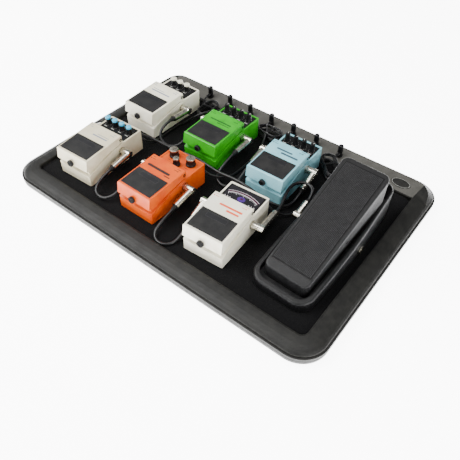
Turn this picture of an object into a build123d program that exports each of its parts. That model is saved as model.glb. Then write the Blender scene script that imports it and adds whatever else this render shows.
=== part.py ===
from build123d import *
import os
from math import sin, cos, tan, radians, pi

os.makedirs("parts", exist_ok=True)

# ------------------------------------------------------------------
# Driving dimensions, millimetres.  Origin: centre of the footprint, on the
# ground.  +X to the player's right, +Y away from the player, +Z up.
# ------------------------------------------------------------------
# carrying case tray
crease_x = 296.75          # half width at the outer top edge of the rim
crease_y = 208.4           # half depth at the same edge
corner_r = 40.0            # plan radius of the tray's corners
rim_w = 29.5               # width of the front and side rims
floor_top = 17.0           # top of the carpet lining above the ground
rim_top = 24.0             # inner top edge of the front and side rims
shell_t = 3.0
console_y0 = 155.3         # front wall of the rear power console
console_top = 29.0
# compact pedals
body_w, body_l = 70.0, 127.6
wall_top = 41.0
tread_hw = 34.1            # half width of a treadle
hinge_y, hinge_z = 78.8, 48.5
pin_r = 2.0
jack_y, jack_z = 76.0, 29.0
panel_z = 40.0
knob_top = 55.1
# treadle wah pedal
wah_x, wah_y, wah_turn = 202.6, -117.1, -1.6
wah_slope = 0.3127
wah_hinge_y, wah_hinge_z = 84.0, 44.0
wah_jack_y, wah_jack_z = 112.0, 12.0
# leads
lead_d = 5.0
dc_d = 3.4
dc_plug_x = [-174.0 + 49.0 * i for i in range(7)]
dc_plug_y = 173.0

# name, x, y of the front bottom edge's centre, turn in degrees, knobs (x, y, radius)
four = [(-24.45, 109.5, 5.0), (-8.15, 109.5, 5.0), (8.15, 109.5, 5.0), (24.45, 109.5, 5.0)]
three = [(-16.8, 112.2, 5.2), (0.0, 112.2, 5.2), (16.8, 112.2, 5.2)]
mixed = [(-18.0, 112.0, 8.5), (0.0, 97.2, 6.5), (18.0, 112.0, 8.5)]
PEDALS = [
    ("delay", -198.1, -154.7, 2.3, four),
    ("noise_gate", -208.4, 8.9, -0.9, three),
    ("distortion", -59.8, -153.2, -0.5, mixed),
    ("phaser", -63.9, 6.5, 0.3, four),
    ("chorus", 71.6, 4.8, 1.4, four),
    ("tuner", 78.3, -156.2, 3.7, []),
]


def deck(x, y, turn, z=0.0):
    """Horizontal plane of a pedal, z above the carpet."""
    c, s = cos(radians(turn)), sin(radians(turn))
    return Plane(origin=(x, y, floor_top + z), x_dir=(c, s, 0), z_dir=(0, 0, 1))


def flank(x, y, turn, off=0.0):
    """Upright plane along a pedal: local x runs back, local y up, normal to the right."""
    c, s = cos(radians(turn)), sin(radians(turn))
    return Plane(origin=(x + c * off, y + s * off, floor_top), x_dir=(-s, c, 0), z_dir=(c, s, 0))


def world(x, y, turn, p):
    c, s = cos(radians(turn)), sin(radians(turn))
    return (x + c * p[0] - s * p[1], y + s * p[0] + c * p[1], floor_top + p[2])


def save(part, name):
    part.label = name
    export_step(part, f"parts/{name}.step")


# ------------------------------------------------------------------
# Case: one moulded tray.  The rim's section runs round the whole tray.
# ------------------------------------------------------------------
# power console along the back: hollow in the middle, solid ends that die into the corners
console_face = [(console_y0, 13.0), (console_y0, 20.6), (console_y0 + 1.2, 22.0), (189.5, 28.7),
                (193.0, 28.8), (197.5, 27.2), (202.0, 23.6), (206.2, 18.0)]
with BuildPart() as console:
    with BuildSketch(Plane.YZ):
        with BuildLine():
            Polyline(*console_face, (204.0, 16.0), (199.0, 21.0), (195.0, 24.6), (191.5, 25.8), (158.6, 19.3),
                     (158.6, 13.0), close=True)
        make_face()
    extrude(amount=256.0, both=True)
    for side in (-1, 1):
        with BuildSketch(Plane.YZ.offset(side * 256.0)):
            with BuildLine():
                Polyline(*console_face, (204.0, 13.0), close=True)
            make_face()
        extrude(amount=side * 40.0)
with BuildPart() as crown:
    with BuildSketch(Plane.XY.offset(12.0)):
        RectangleRounded(2 * crease_x - 6, 2 * crease_y - 2, corner_r - 1)
    extrude(amount=5.2)
    with BuildSketch(Plane.XY.offset(17.0)):
        RectangleRounded(2 * crease_x, 2 * crease_y, corner_r)
    extrude(amount=13.0, taper=50)
with BuildPart() as console_trimmed:
    add(console.part)
    add(crown.part, mode=Mode.INTERSECT)

with BuildPart() as case_shell:
    with BuildLine() as rim_path:
        a, b, r = crease_x, crease_y, corner_r
        Line((0, -b), (a - r, -b))
        CenterArc((a - r, -b + r), r, -90, 90)
        Line((a, -b + r), (a, b - r))
        CenterArc((a - r, b - r), r, 0, 90)
        Line((a - r, b), (-a + r, b))
        CenterArc((-a + r, b - r), r, 90, 90)
        Line((-a, b - r), (-a, -b + r))
        CenterArc((-a + r, -b + r), r, 180, 90)
        Line((-a + r, -b), (0, -b))
    with BuildSketch(Plane(origin=(0, -crease_y, 0), x_dir=(0, 1, 0), z_dir=(1, 0, 0))) as rim_section:
        with BuildLine():
            Polyline(
                (0.6, 2.0), (-2.2, 3.2), (-2.9, 9.4), (-1.4, 9.6), (-1.4, 10.3), (-3.0, 10.6),
                (-3.0, 15.0), (-2.4, 15.5), (2.0, 15.6), (2.0, 16.7), (0.0, 17.0), (1.2, 18.4),
                (4.0, 20.2), (8.0, 21.6), (14.0, 22.9), (21.0, 23.7), (26.5, 24.0), (28.6, 23.6),
                (29.5, 22.6), (29.9, 14.0), (29.9, 11.0), (26.6, 11.0), (26.4, 21.0), (14.0, 19.9),
                (8.0, 18.4), (4.8, 16.0), (3.6, 12.0), (3.6, 2.0), close=True,
            )
        make_face()
    sweep(path=rim_path.wires()[0])
    # tray floor under the carpet
    with BuildSketch(Plane.XY.offset(11.0)):
        RectangleRounded(2 * (crease_x - 27.5), 2 * (crease_y - 27.5), 12)
    extrude(amount=3.0)
    add(console_trimmed.part)
    # the power board's room: the rear part of the swept rim and floor is cleared under the console
    with BuildSketch(Plane.XY.offset(4.6)):
        with Locations((0, 179.0)):
            Rectangle(500, 40.0)
    extrude(amount=14.4, mode=Mode.SUBTRACT)
    # socket holes through the console's top
    with BuildSketch(Plane.XY.offset(15.0)):
        with Locations([(x, dc_plug_y) for x in dc_plug_x]):
            Circle(6.25)
    extrude(amount=20.0, mode=Mode.SUBTRACT)
save(case_shell.part, "case_shell")

# bottom cover, closing the tray from below
cover_screws = [(-250, -165), (0, -165), (250, -165), (-250, 0), (250, 0), (-250, 165), (45, 148), (250, 165)]
feet = [(-225, -150), (225, -150), (-225, 150), (225, 150), (0, -150), (0, 150)]
with BuildPart() as base_cover:
    with BuildSketch(Plane.XY.offset(2.0)):
        RectangleRounded(2 * (crease_x - 4.0), 2 * (crease_y - 4.0), corner_r - 4.0)
    extrude(amount=2.5)
    with BuildSketch(Plane.XY.offset(2.0)):
        with Locations(cover_screws):
            Circle(3.2)
    extrude(amount=2.5, mode=Mode.SUBTRACT)
save(base_cover.part, "base_cover")

with BuildPart() as case_screws:
    with BuildSketch(Plane.XY.offset(2.0)):
        with Locations(cover_screws):
            Circle(3.15)
    extrude(amount=2.5)
    with BuildSketch(Plane.XY.offset(4.5)):
        with Locations(cover_screws):
            Circle(1.5)
    extrude(amount=6.4)
save(case_screws.part, "case_screws")

with BuildPart() as case_feet:
    with BuildSketch(Plane.XY):
        with Locations(feet):
            Circle(11)
    extrude(amount=2.0)
save(case_feet.part, "case_feet")

# loop-carpet lining on the tray floor
with BuildPart() as floor_lining:
    with BuildSketch(Plane.XY.offset(14.0)):
        with Locations((0, (console_y0 - crease_y + rim_w) / 2)):
            RectangleRounded(2 * (crease_x - 30.3), console_y0 + crease_y - 30.8, 11)
    extrude(amount=3.0)
save(floor_lining.part, "floor_lining")

# seven power outlets in the console
with BuildPart() as dc_sockets:
    with BuildSketch(Plane.XY.offset(9.7)):
        with Locations([(x, dc_plug_y) for x in dc_plug_x]):
            Circle(6.2)
    extrude(amount=17.3)
    with BuildSketch(Plane.XY.offset(16.5)):
        with Locations([(x, dc_plug_y) for x in dc_plug_x]):
            Circle(3.0)
    extrude(amount=11.0, mode=Mode.SUBTRACT)
save(dc_sockets.part, "dc_sockets")

# ------------------------------------------------------------------
# Compact pedals
# ------------------------------------------------------------------
with BuildPart() as circuit_boards:
    # distribution board inside the console
    with BuildSketch(Plane.XY.offset(8.0)):
        with Locations((0, 177.5)):
            Rectangle(460, 34)
    extrude(amount=1.6)
    # one board in the back of each compact pedal
    for pname, px, py, turn, knobs in PEDALS:
        with BuildSketch(deck(px, py, turn, 12.0)):
            with Locations((0, 105.2)):
                Rectangle(56, 31)
        extrude(amount=1.6)
save(circuit_boards.part, "circuit_boards")

for pname, px, py, turn, knobs in PEDALS:
    # die-cast housing: low front walls, an inner tub that carries the treadle's
    # ears, and a taller closed block behind with the control recess
    with BuildPart() as housing:
        with BuildSketch(flank(px, py, turn)):
            with BuildLine():
                Polyline((0, 1.5), (body_l, 1.5), (body_l, wall_top), (84, wall_top), (78, 40.7), (66, 39.7),
                         (48, 35.0), (20, 27.4), (0, 21.3), close=True)
            make_face()
        extrude(amount=body_w / 2, both=True)
        fillet(housing.edges().filter_by(Axis.Z), radius=2.2)
        with BuildSketch(flank(px, py, turn)):
            with BuildLine():
                Polyline((4.5, 1.5), (84, 1.5), (84, 40.5), (66, 40.8), (4.5, 30.0), close=True)
            make_face()
        extrude(amount=31.2, both=True)
        with BuildSketch(flank(px, py, turn)):
            with Locations((hinge_y, hinge_z)):
                Circle(3.4)
            with Locations((hinge_y, 43.0)):
                Rectangle(6.8, 11.0)
        extrude(amount=31.2, both=True)
        # battery bay, open upwards under the treadle
        with BuildSketch(deck(px, py, turn, 3.0)):
            with Locations((0, 44.5)):
                Rectangle(57.4, 75.0)
        extrude(amount=60, mode=Mode.SUBTRACT)
        with BuildSketch(flank(px, py, turn)):
            with Locations((hinge_y, 48.0)):
                Rectangle(16, 14)
        extrude(amount=28.7, both=True, mode=Mode.SUBTRACT)
        # hinge pins on the ears
        with BuildSketch(flank(px, py, turn, 28.7)):
            with Locations((hinge_y, hinge_z)):
                Circle(pin_r)
        extrude(amount=5.8)
        with BuildSketch(flank(px, py, turn, -28.7)):
            with Locations((hinge_y, hinge_z)):
                Circle(pin_r)
        extrude(amount=-5.8)
        # control recess and the room for the circuit board
        with BuildSketch(deck(px, py, turn, 38.0)):
            with Locations((0, 105.25)):
                RectangleRounded(65.0, 38.5, 1.5)
        extrude(amount=10, mode=Mode.SUBTRACT)
        with BuildSketch(deck(px, py, turn, 3.0)):
            with Locations((0, 105.25)):
                Rectangle(60, 34.5)
        extrude(amount=36, mode=Mode.SUBTRACT)
        # jack holes in both sides, power inlet hole in the back
        with BuildSketch(flank(px, py, turn)):
            with Locations((jack_y, jack_z)):
                Circle(4.75)
        extrude(amount=40, both=True, mode=Mode.SUBTRACT)
        with BuildSketch(Plane(origin=world(px, py, turn, (0, 120.0, 22.0)),
                               x_dir=(cos(radians(turn)), sin(radians(turn)), 0),
                               z_dir=(-sin(radians(turn)), cos(radians(turn)), 0))):
            Circle(5.05)
        extrude(amount=12, mode=Mode.SUBTRACT)
    save(housing.part, f"{pname}_housing")

    # cast treadle with a rubber pad
    with BuildPart() as treadle:
        with BuildSketch(flank(px, py, turn)):
            with BuildLine():
                Polyline((-2.0, 31.7), (1.3, 51.4), (82.1, 55.6), (82.1, 43.3), (66, 41.4), close=True)
            make_face()
        extrude(amount=tread_hw, both=True)
        fillet(treadle.faces().sort_by(Axis.Z)[-1].edges(), radius=1.4)
        with BuildSketch(flank(px, py, turn)):
            with BuildLine():
                Polyline((0.5, 28.0), (0.7, 31.7), (3.9, 48.6), (84, 52.7), (84, 28.0), close=True)
            make_face()
        extrude(amount=31.6, both=True, mode=Mode.SUBTRACT)
        with BuildSketch(flank(px, py, turn)):
            with Locations((hinge_y, hinge_z)):
                Circle(pin_r + 0.05)
        extrude(amount=40, both=True, mode=Mode.SUBTRACT)
        with BuildSketch(Plane(origin=world(px, py, turn, (0, 3.0, 36.5)),
                               x_dir=(cos(radians(turn)), sin(radians(turn)), 0),
                               z_dir=(sin(radians(turn)), -cos(radians(turn)), 0))):
            Circle(1.95)
        extrude(amount=8, mode=Mode.SUBTRACT)
    with BuildPart() as pad:
        with BuildSketch(flank(px, py, turn)):
            with BuildLine():
                Polyline((4.9, 51.60), (45.0, 53.69), (45.0, 54.69), (4.9, 52.60), close=True)
            make_face()
        extrude(amount=30.7, both=True)
        fillet(pad.edges().filter_by(Axis.Z), radius=0.8) if pad.edges().filter_by(Axis.Z) else None
    save(Compound(children=[treadle.part, pad.part]), f"{pname}_treadle")

    # knurled captive screw in the treadle's apron
    with BuildPart() as screw:
        with BuildSketch(Plane(origin=world(px, py, turn, (0, -2.0, 36.5)),
                               x_dir=(cos(radians(turn)), sin(radians(turn)), 0),
                               z_dir=(sin(radians(turn)), -cos(radians(turn)), 0))) as cap:
            Circle(5.6)
        extrude(amount=5.4)
        fillet(screw.edges().filter_by(GeomType.CIRCLE), radius=0.6)
        with BuildSketch(Plane(origin=world(px, py, turn, (0, 2.2, 36.5)),
                               x_dir=(cos(radians(turn)), sin(radians(turn)), 0),
                               z_dir=(sin(radians(turn)), -cos(radians(turn)), 0))):
            Circle(1.9)
        extrude(amount=5.0)
    save(screw.part, f"{pname}_thumbscrew")

    # knobs on their shafts
    for i, (kx, ky, kr) in enumerate(knobs):
        with BuildPart() as knob:
            with BuildSketch(deck(px, py, turn, panel_z + 0.6)):
                with Locations((kx, ky)):
                    Circle(kr)
            extrude(amount=knob_top - panel_z - 0.6)
            fillet(knob.faces().sort_by(Axis.Z)[-1].edges(), radius=0.9)
            with BuildSketch(deck(px, py, turn, panel_z + 0.6)):
                with Locations((kx, ky)):
                    Circle(3.05)
            extrude(amount=12.0, mode=Mode.SUBTRACT)
        save(knob.part, f"{pname}_knob_{i + 1}")

# control panels with the knobs' shafts
with BuildPart() as control_panels:
    for pname, px, py, turn, knobs in PEDALS:
        with BuildSketch(deck(px, py, turn, 38.0)):
            with Locations((0, 105.25)):
                RectangleRounded(64.6, 38.1, 1.3)
        extrude(amount=2.0)
        if knobs:
            with BuildSketch(deck(px, py, turn, panel_z)):
                with Locations([(k[0], k[1]) for k in knobs]):
                    Circle(3.0)
            extrude(amount=12.0)
save(control_panels.part, "control_panels")

tx, ty, tt = PEDALS[5][1:4]
with BuildPart() as tuner_display:
    with BuildSketch(deck(tx, ty, tt, panel_z)):
        with Locations((0, 107.0)):
            RectangleRounded(60, 30, 2)
    extrude(amount=0.9)
save(tuner_display.part, "tuner_display")

with BuildPart() as indicator_leds:
    for pname, px, py, turn, knobs in PEDALS:
        with BuildSketch(deck(px, py, turn, panel_z)):
            with Locations((0, 88.3)):
                Circle(1.5)
        extrude(amount=1.8)
save(indicator_leds.part, "indicator_leds")

with BuildPart() as pedal_base_plates:
    for pname, px, py, turn, knobs in PEDALS:
        with BuildSketch(deck(px, py, turn)):
            with Locations((0, body_l / 2)):
                RectangleRounded(body_w - 0.6, body_l - 0.6, 2)
        extrude(amount=1.5)
save(pedal_base_plates.part, "pedal_base_plates")

with BuildPart() as batteries:
    for pname, px, py, turn, knobs in PEDALS:
        with BuildSketch(deck(px, py, turn, 3.0)):
            with Locations((0, 26.0)):
                RectangleRounded(48.5, 26.2, 2)
        extrude(amount=17.5)
save(batteries.part, "batteries")

with BuildPart() as foot_switches:
    for pname, px, py, turn, knobs in PEDALS:
        with BuildSketch(deck(px, py, turn, 3.0)):
            with Locations((0, 52.0)):
                Rectangle(14, 14)
        extrude(amount=34.0)
        with BuildSketch(deck(px, py, turn, 37.0)):
            with Locations((0, 52.0)):
                Circle(3.0)
        extrude(amount=11.6)
save(foot_switches.part, "foot_switches")


def jack_solid(pl_face, pl_hex, depth, proud):
    """Threaded bushing with its hexagon nut; both planes look outwards."""
    with BuildPart() as jack:
        with BuildSketch(pl_face):
            Circle(4.7)
        extrude(amount=depth + proud)
        with BuildSketch(pl_hex):
            RegularPolygon(radius=7.2, side_count=6)
        extrude(amount=2.1)
        with BuildSketch(pl_face):
            Circle(3.2)
        extrude(amount=depth + proud, mode=Mode.SUBTRACT)
    return jack.part


def side_jack(px, py, turn, side, half_w, y, z, depth, proud=2.6):
    c, s = cos(radians(turn)) * side, sin(radians(turn)) * side
    inner = Plane(origin=world(px, py, turn, (side * (half_w - depth), y, z)), x_dir=(0, 0, 1), z_dir=(c, s, 0))
    outer = Plane(origin=world(px, py, turn, (side * (half_w + 0.05), y, z)), x_dir=(0, 0, 1), z_dir=(c, s, 0))
    return jack_solid(inner, outer, depth, proud)


jacks = []
for pname, px, py, turn, knobs in PEDALS:
    for side in (-1, 1):
        if (pname, side) == ("noise_gate", -1):
            continue
        jacks.append(side_jack(px, py, turn, side, 35.0, jack_y, jack_z, 6.3))
    with BuildPart() as inlet:
        with BuildSketch(Plane(origin=world(px, py, turn, (0, 122.5, 22.0)),
                               x_dir=(cos(radians(turn)), sin(radians(turn)), 0),
                               z_dir=(-sin(radians(turn)), cos(radians(turn)), 0))):
            Circle(5.0)
            Circle(2.9, mode=Mode.SUBTRACT)
        extrude(amount=5.4)
    jacks.append(inlet.part)
jacks.append(side_jack(wah_x, wah_y, wah_turn, -1, 48.7, wah_jack_y, wah_jack_z, 4.2))
save(Compound(children=jacks), "jack_sockets")

ng = PEDALS[1]
output_jack = side_jack(ng[1], ng[2], ng[3], -1, 35.0, jack_y, jack_z, 6.3)
save(output_jack, "output_jack")
input_jack = side_jack(wah_x, wah_y, wah_turn, 1, 48.7, wah_jack_y, wah_jack_z, 4.2)
save(input_jack, "input_jack")

# ------------------------------------------------------------------
# Treadle wah pedal
# ------------------------------------------------------------------
wah_outline = [(-48.0, -34), (48.0, -34), (49.8, 30), (49.4, 88), (47.4, 133), (43.2, 190), (40.5, 226),
               (-40.5, 226), (-43.2, 190), (-47.4, 133), (-49.4, 88), (-49.8, 30)]
wah_inside = [(-40.5, -25), (40.5, -25), (43.2, 30), (43.6, 88), (43.0, 133), (40.0, 190), (37.4, 222.4),
              (-37.4, 222.4), (-40.0, 190), (-43.0, 133), (-43.6, 88), (-43.2, 30)]
W = (wah_x, wah_y, wah_turn)

with BuildPart() as wah_recess:
    with BuildSketch(deck(*W, 1.5)) as plan_in:
        with BuildLine():
            Polyline(*wah_inside, close=True)
        make_face()
        fillet(plan_in.vertices().group_by(Axis.Y)[0], radius=17)
        fillet(plan_in.vertices().group_by(Axis.Y)[-1], radius=15)
    extrude(amount=70)
    with BuildSketch(flank(*W, -70)):
        with BuildLine():
            Polyline((-40, 8.4), (240, 24.4), (240, 80), (-40, 80), close=True)
        make_face()
    extrude(amount=140, mode=Mode.INTERSECT)
with BuildPart() as wah_hollow:
    with BuildSketch(deck(*W, 0)) as plan_low:
        with BuildLine():
            Polyline(*wah_outline, close=True)
        make_face()
        fillet(plan_low.vertices().group_by(Axis.Y)[0], radius=21)
        fillet(plan_low.vertices().group_by(Axis.Y)[-1], radius=19)
        offset(amount=-3.4, mode=Mode.REPLACE)
    extrude(amount=40)
    with BuildSketch(flank(*W, -70)):
        with BuildLine():
            Polyline((-40, -1), (240, -1), (240, 21.6), (-40, 5.9), close=True)
        make_face()
    extrude(amount=140, mode=Mode.INTERSECT)

with BuildPart() as wah_base:
    with BuildSketch(deck(*W, 1.5)) as plan:
        with BuildLine():
            Polyline(*wah_outline, close=True)
        make_face()
        along = plan.vertices().sort_by(Axis.Y)
        fillet(along[2:-2], radius=150)
        fillet(plan.vertices().group_by(Axis.Y)[0], radius=24)
        fillet(plan.vertices().group_by(Axis.Y)[-1], radius=19)
    extrude(amount=75)
    with BuildSketch(flank(*W)):
        with BuildLine():
            Polyline((-70, 12.6), (270, 62.5), (270, 120), (-70, 120), close=True)
        make_face()
    extrude(amount=70, both=True, mode=Mode.SUBTRACT)
    fillet(wah_base.faces().sort_by(Axis.Z)[-1].edges(), radius=4.0)
    add(wah_recess.part, mode=Mode.SUBTRACT)
    add(wah_hollow.part, mode=Mode.SUBTRACT)
    # posts for the rocker's axle
    for side in (-1, 1):
        with BuildSketch(flank(*W, side * 24.2)):
            with BuildLine():
                Polyline((wah_hinge_y - 12, 12.5), (wah_hinge_y + 12, 12.5), (wah_hinge_y + 5.5, wah_hinge_z + 5),
                         (wah_hinge_y - 5.5, wah_hinge_z + 5), close=True)
            make_face()
        extrude(amount=side * 4.8)
    with BuildSketch(flank(*W)):
        with Locations((wah_hinge_y, wah_hinge_z)):
            Circle(3.02)
    extrude(amount=40, both=True, mode=Mode.SUBTRACT)
    with BuildSketch(flank(*W)):
        with Locations((wah_jack_y, wah_jack_z)):
            Circle(4.75)
    extrude(amount=60, both=True, mode=Mode.SUBTRACT)
    with BuildSketch(flank(*W)):
        with Locations((168.0, 12.0)):
            Circle(4.0)
    extrude(amount=-60, mode=Mode.SUBTRACT)
save(wah_base.part, "wah_base")

with BuildPart() as wah_pivot_pin:
    with BuildSketch(flank(*W)):
        with Locations((wah_hinge_y, wah_hinge_z)):
            Circle(3.0)
    extrude(amount=34.6, both=True)
save(wah_pivot_pin.part, "wah_pivot_pin")


def tz(y, d=0.0):
    return 37.5 + wah_slope * y + d


tread_outline = [(-36.0, -14.0), (36.0, -14.0), (39.0, 190), (-39.0, 190)]
with BuildPart() as tread_core:
    with BuildSketch(deck(*W, 4)) as tplan:
        with BuildLine():
            Polyline(*tread_outline, close=True)
        make_face()
        fillet(tplan.vertices().group_by(Axis.Y)[0], radius=9)
        fillet(tplan.vertices().group_by(Axis.Y)[-1], radius=11)
        offset(amount=-3.0, mode=Mode.REPLACE)
    extrude(amount=116)
    with BuildSketch(flank(*W, -60)):
        with BuildLine():
            Polyline((-20, 0), (200, 0), (200, tz(200, -3.4)), (-20, tz(-20, -3.4)), close=True)
        make_face()
    extrude(amount=120, mode=Mode.INTERSECT)
with BuildPart() as wah_treadle:
    with BuildSketch(deck(*W, 0)) as tplan2:
        with BuildLine():
            Polyline(*tread_outline, close=True)
        make_face()
        fillet(tplan2.vertices().group_by(Axis.Y)[0], radius=9)
        fillet(tplan2.vertices().group_by(Axis.Y)[-1], radius=11)
    extrude(amount=120)
    with BuildSketch(flank(*W, -60)):
        with BuildLine():
            Polyline((-20, 13.4), (0, 13.8), (22, 17.5), (60, 28.0), (110, 35.5), (150, 41.8), (200, 59.8),
                     (200, tz(200)), (-20, tz(-20)), close=True)
        make_face()
    extrude(amount=120, mode=Mode.INTERSECT)
    fillet(wah_treadle.faces().sort_by(SortBy.AREA)[-1].edges(), radius=2.4)
    add(tread_core.part, mode=Mode.SUBTRACT)
    # lugs that ride on the axle
    for side in (-1, 1):
        with BuildSketch(flank(*W, side * 29.6)):
            with BuildLine():
                Polyline((wah_hinge_y - 6.5, wah_hinge_z), (wah_hinge_y + 6.5, wah_hinge_z),
                         (wah_hinge_y + 10, tz(wah_hinge_y + 10, -3.0)), (wah_hinge_y - 10, tz(wah_hinge_y - 10, -3.0)), close=True)
            make_face()
            with Locations((wah_hinge_y, wah_hinge_z)):
                Circle(6.5)
        extrude(amount=side * 5.2)
    with BuildSketch(flank(*W)):
        with Locations((wah_hinge_y, wah_hinge_z)):
            Circle(3.06)
    extrude(amount=60, both=True, mode=Mode.SUBTRACT)
    # shallow seat for the ribbed mat
    with BuildSketch(flank(*W)):
        with BuildLine():
            Polyline((-0.2, tz(-0.2, -0.8)), (181.2, tz(181.2, -0.8)), (181.2, tz(181.2, 4)), (-0.2, tz(-0.2, 4)), close=True)
        make_face()
    extrude(amount=32.4, both=True, mode=Mode.SUBTRACT)
with BuildPart() as wah_mat:
    with BuildSketch(flank(*W)):
        with BuildLine():
            Polyline((0, tz(0, -0.78)), (181, tz(181, -0.78)), (181, tz(181, 0.6)), (0, tz(0, 0.6)), close=True)
        make_face()
    extrude(amount=32.2, both=True)
save(Compound(children=[wah_treadle.part, wah_mat.part]), "wah_treadle")


# ------------------------------------------------------------------
# Plugs and leads.  A plug: shank in the jack, round head, barrel, tapered boot.
# ------------------------------------------------------------------
def angled_plug(x, y, turn, side, half_w, jy, jz, reach, pitch, back, barrel, boot=8.0, barrel_r=5.6):
    """Right-angle plug. reach: distance of the barrel's axis from the pedal's centre."""
    c, s = cos(radians(turn)), sin(radians(turn))
    out = (c * side, s * side, 0)
    p, q = radians(pitch), (1 if back else -1)
    d_local = (0.0, q * cos(p), -sin(p))
    d = (-s * d_local[1], c * d_local[1], d_local[2])
    head = world(x, y, turn, (side * reach, jy, jz))
    with BuildPart() as plug:
        with BuildSketch(Plane(origin=world(x, y, turn, (side * (half_w - 3.0), jy, jz)), x_dir=(0, 0, 1), z_dir=out)):
            Circle(3.12)
        extrude(amount=8.0)
        with BuildSketch(Plane(origin=world(x, y, turn, (side * (half_w + 2.9), jy, jz)), x_dir=(0, 0, 1), z_dir=out)):
            Circle(6.3)
        extrude(amount=reach + 5.2 - half_w - 2.9)
        with BuildSketch(Plane(origin=head, x_dir=out, z_dir=d)):
            Circle(barrel_r)
        extrude(amount=barrel)
        far = tuple(head[i] + d[i] * barrel for i in range(3))
        with BuildSketch(Plane(origin=far, x_dir=out, z_dir=d)) as big:
            Circle(barrel_r - 0.6)
        with BuildSketch(Plane(origin=tuple(far[i] + d[i] * boot for i in range(3)), x_dir=out, z_dir=d)) as small:
            Circle(lead_d / 2 + 0.5)
        loft()
    tip = tuple(head[i] + d[i] * (barrel + boot) for i in range(3))
    return plug.part, tip, d


P = {p[0]: p[1:4] for p in PEDALS}
plugs, ends = [], {}
for key, args in {
    "delay_r": (*P["delay"], 1, 35.0, jack_y, jack_z, 50.0, 8.0, False, 37.0),
    "delay_l": (*P["delay"], -1, 35.0, jack_y, jack_z, 50.0, 10.0, True, 37.0),
    "distortion_r": (*P["distortion"], 1, 35.0, jack_y, jack_z, 50.0, 11.0, False, 38.0),
    "distortion_l": (*P["distortion"], -1, 35.0, jack_y, jack_z, 50.0, 10.0, False, 37.0),
    "noise_gate_r": (*P["noise_gate"], 1, 35.0, jack_y, jack_z, 50.0, -3.0, False, 38.0),
    "phaser_r": (*P["phaser"], 1, 35.0, jack_y, jack_z, 50.0, 3.0, False, 38.0),
    "phaser_l": (*P["phaser"], -1, 35.0, jack_y, jack_z, 50.0, 10.0, False, 28.0),
    "chorus_r": (*P["chorus"], 1, 35.0, jack_y, jack_z, 50.0, 22.0, False, 37.0),
    "chorus_l": (*P["chorus"], -1, 35.0, jack_y, jack_z, 50.0, 10.0, False, 37.0),
    "tuner_r": (*P["tuner"], 1, 35.0, jack_y, jack_z, 52.0, 2.0, True, 42.0),
    "tuner_l": (*P["tuner"], -1, 35.0, jack_y, jack_z, 50.0, 18.0, False, 32.0),
    "wah_l": (*W, -1, 48.7, wah_jack_y, wah_jack_z, 62.0, -19.6, True, 26.0, 6.0),
}.items():
    solid, tip, d = angled_plug(*args)
    plugs.append(solid)
    ends[key] = (tip, d)
    print("plug", key, "boot end", [round(v, 1) for v in tip], "dir", [round(v, 3) for v in d])
save(Compound(children=plugs), "patch_plugs")


def tray(*pts):
    """Points given from the tray's own datum: its left outer edge, the pedals' front line, the carpet."""
    return [(x - 298.0, y - 154.7, z + floor_top) for x, y, z in pts]


def lead(name, pts, dia):
    """Straight runs joined by tangent arcs, as large as the runs allow."""
    v = [Vector(*p) for p in pts]
    runs = [(v[i + 1] - v[i]) for i in range(len(v) - 1)]
    radii = []
    for i in range(1, len(v) - 1):
        turn = runs[i - 1].get_angle(runs[i])
        radii.append(0.45 * min(runs[i - 1].length, runs[i].length) / tan(radians(turn) / 2))
    with BuildPart() as tube:
        with BuildLine() as path:
            route = FilletPolyline(*pts, radius=radii)
        with BuildSketch(Plane(origin=route @ 0, z_dir=route % 0)):
            Circle(dia / 2)
        sweep()
    length = sum(e.length for e in path.edges())
    print("lead %-14s length %6.1f  runs %s  radii %s  volume ratio %.4f" % (
        name, length, [round(r_.length) for r_ in runs], [round(r_) for r_ in radii],
        tube.part.volume / (pi * dia * dia / 4 * length)))
    if min(radii) < 2.9 * dia:
        print("   *** tight:", min(radii))
    return tube.part


def rows(end):
    return [tuple(end[0])]


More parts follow.
